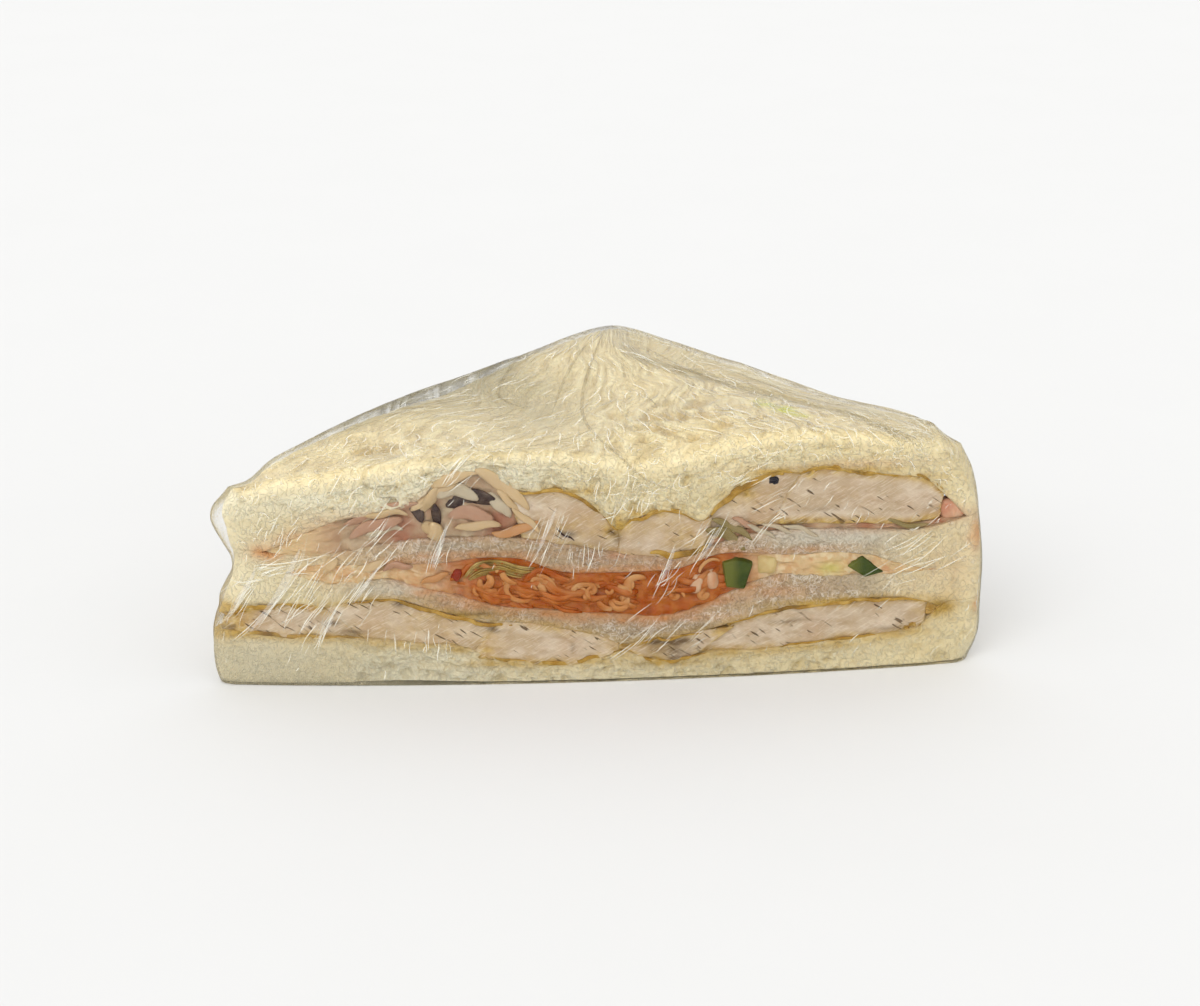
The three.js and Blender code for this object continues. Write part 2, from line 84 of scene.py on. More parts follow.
# Each layer, bottom to top: its thickness at the back, and its top along the cut as (x, z).
LAYERS = {
    "bread_1": (8.5, (
        (-72, 10.8), (-65, 9.9), (-57, 9.6), (-50, 9.2), (-42, 8.6), (-35, 8.0), (-27, 7.3),
        (-21, 5.2), (-12, 3.6), (-4, 3.5), (3, 5.6), (8, 3.9), (15, 3.1), (21, 4.7), (30, 4.8),
        (38, 5.4), (46, 6.0), (54, 6.4), (61, 7.6), (65, 10.4), (68, 12.3), (72, 12.8))),
    "chicken_bottom": (6.5, (
        (-72, 14.6), (-66, 15.9), (-57, 16.3), (-52, 16.0), (-47, 17.0), (-42, 17.5), (-38, 17.4),
        (-33, 15.8), (-27, 14.0), (-21, 12.5), (-15, 12.4), (-8, 11.0), (-1, 9.4), (3.5, 7.6),
        (9, 8.2), (14, 8.8), (19, 9.6), (26, 11.4), (34, 13.5), (42, 13.9), (50, 14.6),
        (57, 14.5), (62, 13.6), (65, 12.8), (68, 12.5), (72, 12.8))),
    "bread_2": (5.5, (
        (-72, 23.2), (-60, 22.8), (-53, 21.2), (-46, 20.8), (-40, 21.4), (-34, 19.6), (-27, 17.9),
        (-21, 16.0), (-12, 14.9), (-4, 14.0), (3, 13.6), (10, 12.8), (16, 13.6), (21, 15.6),
        (26, 17.9), (34, 20.4), (42, 19.9), (49, 19.6), (57, 19.6), (64, 19.8), (72, 19.8))),
    "slaw": (5.8, (
        (-72, 23.2), (-60, 22.9), (-54, 24.4), (-46, 24.6), (-38, 24.8), (-30, 24.9), (-23, 25.9),
        (-15, 25.5), (-8, 22.9), (0, 22.4), (7, 22.4), (15, 22.9), (21, 25.2), (26, 25.6),
        (31, 25.0), (37, 24.6), (47, 24.4), (52, 23.4), (57, 21.6), (64, 20.0), (72, 19.9))),
    "bread_3": (5.0, (
        (-72, 27.6), (-64, 26.8), (-56, 26.4), (-49, 26.9), (-41, 28.4), (-34, 29.5), (-27, 29.8),
        (-19, 29.9), (-12, 29.0), (-4, 27.4), (3, 26.1), (10, 25.0), (17, 25.2), (22, 27.2),
        (28, 28.8), (37, 29.4), (45, 29.1), (53, 28.6), (61, 28.3), (67, 29.2), (72, 30.4))),
    "chicken_top": (8.0, (
        (-72, 27.6), (-64, 27.4), (-60, 28.6), (-55, 31.2), (-49, 33.6), (-41, 35.0), (-35, 37.0),
        (-31, 39.9), (-26, 42.9), (-21, 42.6), (-16, 39.6), (-12, 38.9), (-8, 39.1), (-4, 37.8),
        (0, 34.2), (3, 31.0), (6, 33.0), (11, 34.6), (15, 34.0), (19, 32.4), (22, 35.8), (27, 39.6),
        (33, 41.6), (37, 41.2), (41, 42.2), (48, 40.9), (56, 39.7), (62, 38.4), (66, 35.4),
        (69, 33.2), (72, 31.6))),
    "bread_4": (8.5, (
        (-70, 40.0), (-50, 43.2), (-30, 45.9), (-10, 47.1), (10, 47.0), (30, 49.4), (50, 48.4),
        (70, 43.8))),
}
LAYER_NAMES = list(LAYERS)
RELISH = 1.2
DENT = {"x": -13.0, "y": -6.0, "across": 13.0, "along": 17.0, "deep": 3.6}
FILM_IN_DENT = 0.35  # how much of the dent's depth the film follows

# Humps and hollows of the whole top: height, middle and spread along X. After some of them stand
# the Y where they begin and the Y where they are full.
CORNER_HUMP, CORNER_GROWS = (1.5, 5, 17), (-5, 32)
SIDE_HOLLOW, SIDE_GROWS = (2.3, 50, 15), (-26, -2)
TIP_HUMPS = ((1.0, 67, 9), (2.0, 69.5, 4))
DROOP, DROOP_GROWS = (1.8, 9, 13), (-22, FRONT)

TIP_STARTS, TIP_FULL = 60, 73  # X, either way, between which a tip is drawn in


def mix(a, b, t):
    return a + (b - a) * t


def ease(low, high, value):
    """Smooth step: 3t^2 - 2t^3, where t runs from 0 at low to 1 at high."""
    t = np.clip((value - low) / (high - low), 0, 1)
    return t * t * (3 - 2 * t)


def bell(value, centre, spread):
    """A hump of height 1: e to the minus ((value - centre) / spread) squared."""
    return np.exp(-(((value - centre) / spread) ** 2))


def hump(value, height, centre, spread):
    return height * bell(value, centre, spread)


def curve(points):
    """Smooth curve z(x) through points: cubics that take each point's slope from its neighbours."""
    px, pz = np.array(points, float).T
    slope = np.gradient(pz, px)

    def read(x):
        k = np.clip(np.searchsorted(px, x) - 1, 0, len(px) - 2)
        run, rise = px[k + 1] - px[k], pz[k + 1] - pz[k]
        t = np.clip((x - px[k]) / run, 0, 1)
        start, end = slope[k] * run - rise, rise - slope[k + 1] * run
        return pz[k] + rise * t + t * (1 - t) * ((1 - t) * start + t * end)

    return read


TOPS_AT_CUT = [curve(points) for _, points in LAYERS.values()]


def cut_line(x):
    """Y of the film along the cut: a parabola, with both ends a little further back."""
    return FRONT + CUT_BOW * (2 * x / LENGTH) ** 2


def back_line(x):
    """Y of the film along the two back sides: the lower of two lines, rounded at the corner."""
    reach = LENGTH / 2 + BLUNT_TIP
    peak = BACK + BACK_ROUND - CORNER_Y
    left = peak * (x + reach) / (BACK_CORNER_X + reach)
    right = peak * (reach - x) / (reach - BACK_CORNER_X)
    return CORNER_Y + (left + right) / 2 - np.sqrt(((left - right) / 2) ** 2 + BACK_ROUND**2)


def height_of(count, x, y):
    """Height of the top of the first count layers, easing from its curve at the cut to the sum
    of the thicknesses at the back."""
    if count == 0:
        return 0 * x * y
    at_back = sum(back for back, _ in list(LAYERS.values())[:count])
    return mix(TOPS_AT_CUT[count - 1](x), at_back, ease(0.05, 0.95, (y - FRONT) / DEPTH))


def layer_low(name, gap=0.1):
    return lambda x, y: height_of(LAYER_NAMES.index(name), x, y) + gap


def layer_high(name, gap=0.1):
    return lambda x, y: height_of(LAYER_NAMES.index(name) + 1, x, y) - gap


def dent(x, y):
    return DENT["deep"] * bell(x, DENT["x"], DENT["across"]) * bell(y, DENT["y"], DENT["along"])


def droop(x, y):
    """The top slice's front edge sags in the middle."""
    return hump(x, *DROOP) * ease(*DROOP_GROWS, y)


def top_height(x, y):
    """Height of the whole sandwich: fuller at its back corner and right tip, and a little lower
    along the right back side."""
    corner = hump(x, *CORNER_HUMP) * ease(*CORNER_GROWS, y)
    side = hump(x, *SIDE_HOLLOW) * ease(*SIDE_GROWS, y)
    tip = sum(hump(x, *row) for row in TIP_HUMPS)
    return height_of(len(LAYERS), x, y) + corner - side + tip


def film_top(x, y):
    return top_height(x, y) - FILM_IN_DENT * dent(x, y) - droop(x, y)


def inside_back(x, y, side):
    """Distance in from one of the two straight back sides: -1 is the left one, 1 the right."""
    corner = BACK + BACK_ROUND
    run = np.array([side * LENGTH / 2 + side * BLUNT_TIP - BACK_CORNER_X, CORNER_Y - corner])
    run = run / np.hypot(*run)
    return side * ((x - BACK_CORNER_X) * run[1] - (y - corner) * run[0])


# How far each end is drawn in at a height, as (z, inset): the film's, then the food's.
FILM_LEFT = curve(((0, 1.2), (1.5, 0.5), (4, 0.0), (8, 0.0), (11, 0.1), (13.5, 0.6), (16, 1.4),
                   (18.5, 1.8), (21, 3.0), (23.5, 4.3), (26, 4.3), (28.5, 3.0), (31, 1.9),
                   (33.5, 1.0), (36, 1.5), (38.5, 3.6), (42, 6.2)))
FILM_RIGHT = curve(((0, 2.2), (2, 1.2), (5, 0.2), (12, 0.0), (20, 0.1), (25, 0.5), (30, 1.2),
                    (35.5, 2.2), (38, 2.7), (40.5, 3.4), (43, 4.6), (46, 6.4)))
FOOD_LEFT = curve(((0, 1.2), (1.5, 0.5), (4, 0.0), (11, 0.1), (14, 0.8), (18, 2.2), (22, 3.8),
                   (26, 4.4), (31, 3.4), (35, 3.0), (38, 4.2), (40, 5.4), (44, 7.0)))
FOOD_RIGHT = curve(((0, 2.2), (2, 1.2), (5, 0.2), (12, 0.1), (20, 0.1), (25, 0.5), (30, 1.2),
                    (35.5, 2.2), (38, 2.7), (40.5, 3.4), (43, 4.6), (46, 6.4)))


def draw_in(points, left, right):
    """Moves the points of both tips in along X, by each tip's curve of height."""
    x, z = points[..., 0].copy(), points[..., 2]
    points[..., 0] += (ease(-TIP_STARTS, -TIP_FULL, x) * left(z)
                       - ease(TIP_STARTS, TIP_FULL, x) * right(z))


def food_front(x):
    return cut_line(x) + FOOD_INSET


def food_back(x):
    return back_line(x) - SIDE_INSET


# ---------------------------------------------------------------- noise in numpy


def hashed(ix, iy, iz, seed):
    """A repeatable number from 0 to 1 for each cell: its counts times large primes, bits folded."""
    word = 0xFFFFFFFF
    h = (ix * 73856093 ^ iy * 19349663 ^ iz * 83492791 ^ seed * 2654435761) & word
    for _ in range(2):
        h = (h ^ (h >> 16)) * 0x45D9F3B & word
    return (h ^ (h >> 16)) / word


def soft_noise(points, size, seed):
    """Value noise from -1 to 1: random corners of a grid of the given size, blended smoothly."""
    place = points / np.asarray(size, float)
    cell = np.floor(place).astype(np.int64)
    t = place - cell
    t = t * t * (3 - 2 * t)
    total = 0
    for step in product((0, 1), repeat=3):
        weight = np.prod(np.where(step, t, 1 - t), axis=-1)
        total = total + weight * hashed(*np.moveaxis(cell + step, -1, 0), seed)
    return 2 * total - 1


def rough_noise(points, size, seed, octaves=3):
    """Sum of soft noises, each half as large and half as strong as the one before."""
    sizes = np.asarray(size, float)
    return sum(soft_noise(points, sizes / 2**k, seed + k) / 2**k for k in range(octaves))


def foam(points, size, seed):
    """Crumb cells of the given size: 0 on their walls and 1 inside, and a number for each cell.

    It is how much nearer the nearest of many random points is than the second nearest.
    """
    cell = np.floor(points / size).astype(np.int64)
    nearest = np.full(points.shape[:-1], np.inf)
    second, label = nearest, np.zeros_like(nearest)
    for step in product((-1, 0, 1), repeat=3):
        ids = cell + step
        counts = tuple(np.moveaxis(ids, -1, 0))
        centre = (ids + np.stack([hashed(*counts, seed + k) for k in range(3)], -1)) * size
        away = np.linalg.norm(points - centre, axis=-1)
        second = np.minimum(second, np.maximum(nearest, away))
        label = np.where(away < nearest, hashed(*counts, seed + 5), label)
        nearest = np.minimum(nearest, away)
    return ease(0.0, 0.5 * size, second - nearest), label


def pores(points, size, seed, share, radii):
    """How deep a point is in the nearest of many random balls: the most of 1 - (d/r)^2, or 0."""
    cell = np.floor(points / size).astype(np.int64)
    deepest = np.zeros(points.shape[:-1])
    for step in product((-1, 0, 1), repeat=3):
        ids = cell + step
        counts = tuple(np.moveaxis(ids, -1, 0))
        centre = (ids + np.stack([hashed(*counts, seed + k) for k in range(3)], -1)) * size
        radius = mix(radii[0], radii[1], hashed(*counts, seed + 3) ** 2)
        there = hashed(*counts, seed + 4) < share
        depth = 1 - ((points - centre) ** 2).sum(-1) / radius**2
        deepest = np.maximum(deepest, np.where(there, depth, 0))
    return deepest


# ---------------------------------------------------------------- lofted bodies


def end_columns(start, end, nose, step):
    """Places along X: even in the middle, and by equal angles round both ends."""
    turns = np.linspace(0, np.pi / 2, max(5, int(1.6 * nose / step)))[1:]
    bend = nose * (1 - np.cos(turns))
    middle = np.linspace(start + nose, end - nose, max(2, int((end - start - 2 * nose) / step)))
    return np.concatenate([start + bend[:-1], middle, (end - bend[:-1])[::-1]])


def round_end(from_end, radius):
    """1 inside a piece, falling round its end as the square root of 1 - (1 - d/r)^2."""
    if radius == 0:
        return 1 + 0 * from_end
    return np.sqrt(np.clip(1 - (1 - np.minimum(from_end, radius) / radius) ** 2, 0, 1))


class Loft:
    """A body between two lines in plan and two heights, as a grid of points.

    Each column at x is one closed section: the underside from front to back, up the back, the
    top back to the front, and down the front, with quarter-round edges between them.
    """

    def __init__(self, start, end, front, back, low, high, nose=2.4, lip=2.4,
                 edges=(1.2, 1.2), step=0.6, rows=(20, 12, 20), corner=3):
        self.x = end_columns(start, end, nose, step)[:, None]
        from_end = np.minimum(self.x - start, end - self.x)
        shut, thin = round_end(from_end, nose), round_end(from_end, lip)
        middle = (front(self.x) + back(self.x)) / 2
        near, far = mix(middle, front(self.x), shut), mix(middle, back(self.x), shut)

        def level(height, y):
            other = (low(self.x, y) + high(self.x, y)) / 2
            return mix(other, height(self.x, y), thin)

        tall = level(high, middle) - level(low, middle)
        room = 0.42 * np.minimum(far - near, tall)
        under, over = (np.minimum(edge(self.x) if callable(edge) else edge, room) for edge in edges)
        turn = np.linspace(0, np.pi / 2, corner + 2)[1:-1][None, :]
        sine, cosine = np.sin(turn), np.cos(turn)
        parts = []

        def along(count, y_from, y_to, height):
            y = mix(y_from, y_to, np.linspace(0, 1, count)[None, :])
            parts.append((y, level(height, y)))

        def upright(count, y, z_from, z_to):
            z = mix(z_from, z_to, np.linspace(0, 1, count)[None, :])
            parts.append((y + 0 * z, z))

        along(rows[0], near + under, far - under, low)
        parts.append((far - under + under * sine, level(low, far) + under * (1 - cosine)))
        upright(rows[1], far, level(low, far) + under, level(high, far) - over)
        parts.append((far - over + over * cosine, level(high, far) - over * (1 - sine)))
        along(rows[2], far - over, near + over, high)
        parts.append((near + over - over * sine, level(high, near) - over * (1 - cosine)))
        upright(rows[1], near, level(high, near) - over, level(low, near) + under)
        parts.append((near + under - under * cosine, level(low, near) + under * (1 - sine)))
        y, z = (np.concatenate([part[k] for part in parts], axis=1) for k in (0, 1))
        self.points = np.stack([np.broadcast_to(self.x, y.shape), y, z], axis=-1)
        self.near, self.far = near, far
        self.base, self.top = level(low, near), level(high, near)
        self.crest = rows[0] + rows[1] + 2 * corner + rows[2] // 2

    def normals(self):
        """Unit normals: the cross product of the grid's two directions, the second one closed."""
        along = np.gradient(self.points, axis=0)
        around = np.roll(self.points, -1, axis=1) - np.roll(self.points, 1, axis=1)
        out = np.cross(around, along)
        return out / np.maximum(np.linalg.norm(out, axis=-1, keepdims=True), 1e-9)

    def facing(self, direction, power=1.0):
        """How far each point faces a direction: its normal's share of it, from 0 to 1."""
        return np.clip(self.normals() @ np.asarray(direction, float), 0, 1) ** power

    def push(self, height):
        """Moves every point along its normal by height."""
        self.points = self.points + self.normals() * height[..., None]

    def mesh(self, name, **marks):
        """A closed mesh: quads between columns, and a ladder of quads across each end, whose
        rungs join the points of the section's back to those of its front."""
        n, m = self.points.shape[:2]
        quads = ring_quads(n, m)
        rung = np.arange(m // 2 - 1)
        back, front = (self.crest - 1 - rung) % m, (self.crest + rung) % m
        lower_back, lower_front = (back - 1) % m, (front + 1) % m
        first = np.stack([back, lower_back, lower_front, front], axis=1)
        last = first[:, ::-1] + (n - 1) * m
        return make_piece(name, self.points.reshape(-1, 3), np.concatenate([quads, first, last]),
                          marks=marks)


def ring_quads(rings, around):
    """Quads between closed rings of points, which are counted ring by ring."""
    i, j = (a.ravel() for a in np.meshgrid(np.arange(rings - 1), np.arange(around), indexing="ij"))
    here, there, k = i * around, (i + 1) * around, (j + 1) % around
    return np.stack([here + j, here + k, there + k, there + j], axis=1)


def pole_fans(rings, around):
    """Triangles from the first and the last ring to two poles, which are counted after them."""
    j = np.arange(around)
    k, pole, last = (j + 1) % around, rings * around, (rings - 1) * around
    first = np.stack([0 * j + pole, j, k], axis=1)
    return np.concatenate([first, np.stack([0 * j + pole + 1, last + k, last + j], axis=1)])


# The corners of a quad and of a triangle taken the other way round.
QUAD_TURNED, FAN_TURNED = [0, 3, 2, 1], [0, 2, 1]


def make_piece(name, vertices, quads, triangles=(), marks=None):
    """An object at the origin from vertices in millimetres, with float marks on its points."""
    mesh = bpy.data.meshes.new(name)
    quads = np.asarray(quads, int).reshape(-1, 4)
    triangles = np.asarray(triangles, int).reshape(-1, 3)
    corners = np.concatenate([quads.ravel(), triangles.ravel()])
    sizes = np.concatenate([np.full(len(quads), 4), np.full(len(triangles), 3)])
    mesh.vertices.add(len(vertices))
    mesh.vertices.foreach_set("co", (np.asarray(vertices) * MM).ravel())
    mesh.loops.add(len(corners))
    mesh.loops.foreach_set("vertex_index", corners)
    mesh.polygons.add(len(sizes))
    mesh.polygons.foreach_set("loop_start", np.concatenate([[0], np.cumsum(sizes)[:-1]]))
    mesh.polygons.foreach_set("use_smooth", np.ones(len(sizes), bool))
    mesh.update(calc_edges=True)
    mesh.validate()
    for key, values in (marks or {}).items():
        mark = mesh.attributes.new(key, "FLOAT", "POINT")
        mark.data.foreach_set("value", np.asarray(values, np.float32).ravel())
    piece = bpy.data.objects.new(name, mesh)
    bpy.context.collection.objects.link(piece)
    return piece


def smooth_path(points, steps):
    """A smooth path through points: a cubic curve of the point's count for each coordinate."""
    columns = np.array(points, float).T
    place = np.linspace(0, len(points) - 1, steps)
    return np.stack([curve(list(enumerate(column)))(place) for column in columns], axis=-1)


def ribbons(name, paths, width, thick, flat, marks=None, sides=8, cup=0.0, power=0.25):
    """Flat strips carried along paths of shape (strips, steps, 3), with closed, tapered ends.

    The section is a flattened ring: width cos a across the strip and thick sin a through it,
    each squared off by a power and cupped by cos^2 a, and it shrinks to the ends as a power of
    a sine.
    """
    strips, steps = paths.shape[:2]
    tangent = np.gradient(paths, axis=1)
    tangent /= np.linalg.norm(tangent, axis=-1, keepdims=True)
    flat = np.asarray(flat, float)
    flat = flat if flat.ndim == 3 else flat.reshape(-1, 1, 3)
    across = np.cross(tangent, np.broadcast_to(flat, paths.shape))
    across /= np.maximum(np.linalg.norm(across, axis=-1, keepdims=True), 1e-9)
    through = np.cross(across, tangent)
    angle = np.linspace(0, 2 * np.pi, sides, endpoint=False)
    squared = [np.sign(f(angle)) * np.abs(f(angle)) ** 0.6 for f in (np.cos, np.sin)]
    taper = np.sin(np.linspace(0.03, np.pi - 0.03, steps)) ** power
    size = taper[None, :, None, None] / 2
    wide, deep = (np.broadcast_to(value, strips).reshape(-1, 1, 1, 1) for value in (width, thick))
    bent = squared[1][:, None] * deep + cup * wide * (squared[0][:, None] ** 2 - 0.5)
    ring = (across[:, :, None] * squared[0][:, None] * wide + through[:, :, None] * bent) * size
    points = paths[:, :, None] + ring
    count = steps * sides
    quads = ring_quads(steps, sides)[:, QUAD_TURNED]
    j = np.arange(1, sides - 1)
    start = np.stack([0 * j, j, j + 1], axis=1)
    end = np.stack([0 * j, j + 1, j], axis=1) + (steps - 1) * sides
    shift = (np.arange(strips) * count)[:, None, None]
    marks = {key: np.repeat(np.broadcast_to(value, strips), count)
             for key, value in (marks or {}).items()}
    return make_piece(name, points.reshape(-1, 3), (quads + shift).reshape(-1, 4),
                      (np.concatenate([start, end]) + shift).reshape(-1, 3), marks)


# ---------------------------------------------------------------- materials


def shade(red, green, blue):
    """A colour given as 0 to 255, as the linear numbers that shaders take."""
    part = np.array([red, green, blue]) / 255
    linear = np.where(part <= 0.04045, part / 12.92, ((part + 0.055) / 1.055) ** 2.4)
    return tuple(linear)


class Paint:
    """A material made from short calls. Every pattern reads Object coordinates or a mark."""

    def __init__(self, name):
        self.material = bpy.data.materials.new(name)
        self.material.use_nodes = True
        self.nodes, self.links = self.material.node_tree.nodes, self.material.node_tree.links
        self.nodes.clear()
        self.place = self.add("ShaderNodeTexCoord").outputs["Object"]

    def add(self, kind, settings=None, **inputs):
        node = self.nodes.new(kind)
        for key, value in (settings or {}).items():
            setattr(node, key, value)
        for key, value in inputs.items():
            self.feed(node.inputs[key.replace("_", " ")], value)
        return node

    def feed(self, socket, value):
        if isinstance(value, bpy.types.NodeSocket):
            self.links.new(value, socket)
        elif hasattr(value, "__len__") and len(value) == 3 and len(socket.default_value) == 4:
            socket.default_value = (*value, 1)
        else:
            socket.default_value = value

    def noise(self, size, detail=3.0, rough=0.5, stretch=(1, 1, 1), turn=(0, 0, 0), curl=0.0):
        """Noise with bumps about size millimetres across, curled up by its own distortion."""
        scale = [size * MM * part for part in stretch]
        place = self.add("ShaderNodeMapping", {"vector_type": "TEXTURE"}, Vector=self.place,
                         Rotation=turn, Scale=scale)
        return self.add("ShaderNodeTexNoise", Vector=place.outputs[0], Scale=1.0, Detail=detail,
                        Roughness=rough, Distortion=curl).outputs["Fac"]

    def lines(self, size, width, **noise):
        """Thin curling lines, 1 along them: where a noise passes through its middle value."""
        away = self.maths("ABSOLUTE", self.maths("SUBTRACT", self.noise(size, **noise), 0.5))
        return self.span(away, 0.0, width, 1.0, 0.0)

    def streaks(self, across, along, detail=2.5):
        """Noise drawn out along the flow marks: its size across them and along them."""
        place = self.add("ShaderNodeCombineXYZ", None,
                         X=self.maths("DIVIDE", self.mark("across"), across),
                         Y=self.maths("DIVIDE", self.mark("along"), along))
        return self.add("ShaderNodeTexNoise", Vector=place.outputs[0], Scale=1.0, Detail=detail,
                        Roughness=0.5).outputs["Fac"]

    def axis(self, name):
        """One object coordinate, in millimetres."""
        parts = self.add("ShaderNodeSeparateXYZ", None, Vector=self.place)
        return self.maths("DIVIDE", parts.outputs[name], MM)

    def mark(self, name):
        return self.add("ShaderNodeAttribute", {"attribute_name": name}).outputs["Fac"]

    def span(self, value, low, high, to_low=0.0, to_high=1.0):
        """value, drawn from low..high onto to_low..to_high and held there."""
        node = self.add("ShaderNodeMapRange", Value=value)
        keys = ("From Min", "From Max", "To Min", "To Max")
        for key, number in zip(keys, (low, high, to_low, to_high)):
            node.inputs[key].default_value = number
        return node.outputs[0]

    def maths(self, operation, a, b=0.0):
        node = self.add("ShaderNodeMath", {"operation": operation})
        self.feed(node.inputs[0], a)
        self.feed(node.inputs[1], b)
        return node.outputs[0]

    def blend(self, factor, a, b, kind="MIX"):
        node = self.add("ShaderNodeMix", {"data_type": "RGBA", "blend_type": kind})
        self.feed(node.inputs[0], factor)
        self.feed(node.inputs[6], a)
        self.feed(node.inputs[7], b)
        return node.outputs[2]

    def glaze(self, base, colour, first, second):
        """Lays a colour over a base as far as the product of two factors, each 0 to 1."""
        return self.blend(self.maths("MULTIPLY", first, second), base, shade(*colour))

    def bump(self, height, distance, strength=1.0, onto=None):
        """Relief of distance millimetres from a height of 0 to 1."""
        node = self.add("ShaderNodeBump", Height=height, Distance=distance * MM, Strength=strength)
        if onto is not None:
            self.links.new(onto, node.inputs["Normal"])
        return node.outputs[0]

    def surface(self, colour, roughness, normal=None, sheen=0.25, **inputs):
        node = self.add("ShaderNodeBsdfPrincipled", None, Specular_IOR_Level=sheen, **inputs)
        self.feed(node.inputs["Base Color"], colour)
        self.feed(node.inputs["Roughness"], roughness)
        if normal is not None:
            self.links.new(normal, node.inputs["Normal"])
        return self.output(node.outputs[0])

    def join(self, factor, first, second):
        node = self.add("ShaderNodeMixShader")
        self.feed(node.inputs[0], factor)
        self.links.new(first, node.inputs[1])
        self.links.new(second, node.inputs[2])
        return node.outputs[0]

    def output(self, shader):
        out = self.add("ShaderNodeOutputMaterial")
        self.links.new(shader, out.inputs["Surface"])
        return self.material


# ---------------------------------------------------------------- user settings


class SandwichSizes(bpy.types.PropertyGroup):
    """How finely the pieces are made, and how the film lies."""

    crumb_step: FloatProperty(
        name="Crumb grid", description="Spacing of the bread's points along the cut",
        default=0.00055, min=0.0002, unit="LENGTH")
    crumb_depth: FloatProperty(
        name="Crumb depth", description="How deep the larger pores of the crumb are",
        default=0.0013, min=0.0, unit="LENGTH")
    film_step: FloatProperty(
        name="Film grid", description="Spacing of the film's points along the cut",
        default=0.0006, min=0.0003, unit="LENGTH")
    # The film's creases are drawn as ribbons of painted highlight, and on the top also of painted
    # shade.
    crease_width: FloatProperty(
        name="Crease width", description="Width of the film's bright creases",
        default=0.00024, min=0.00005, unit="LENGTH")
    top_creases: IntProperty(
        name="Top creases", description="How many fine creases cross the top and the back",
        default=820, min=1)
    cut_creases: IntProperty(
        name="Cut creases", description="How many fine creases cross the cut",
        default=260, min=1)


class SandwichColours(bpy.types.PropertyGroup):
    """The main colours of the bread and the fillings."""

    crumb: FloatVectorProperty(
        name="Crumb", description="Open crumb of the outer slices", subtype="COLOR",
        default=shade(238, 225, 186), min=0, max=1)
    crumb_warm: FloatVectorProperty(
        name="Warm crumb", description="Yellower parts of the outer slices", subtype="COLOR",
        default=shade(235, 218, 172), min=0, max=1)
    pressed: FloatVectorProperty(
        name="Pressed crumb", description="Damp, pressed crumb of the two inner slices",
        subtype="COLOR", default=shade(190, 171, 143), min=0, max=1)
    chicken: FloatVectorProperty(
        name="Chicken", description="Cut face of the chicken", subtype="COLOR",
        default=shade(206, 185, 156), min=0, max=1)
    turmeric: FloatVectorProperty(
        name="Turmeric edge", description="Golden outside of the chicken", subtype="COLOR",
        default=shade(180, 138, 46), min=0, max=1)
    sauce: FloatVectorProperty(
        name="Tikka sauce", description="Orange sauce of the slaw", subtype="COLOR",
        default=shade(170, 80, 6), min=0, max=1)
    pepper: FloatVectorProperty(
        name="Green pepper", description="Skin of the green pepper", subtype="COLOR",
        default=shade(50, 68, 6), min=0, max=1)
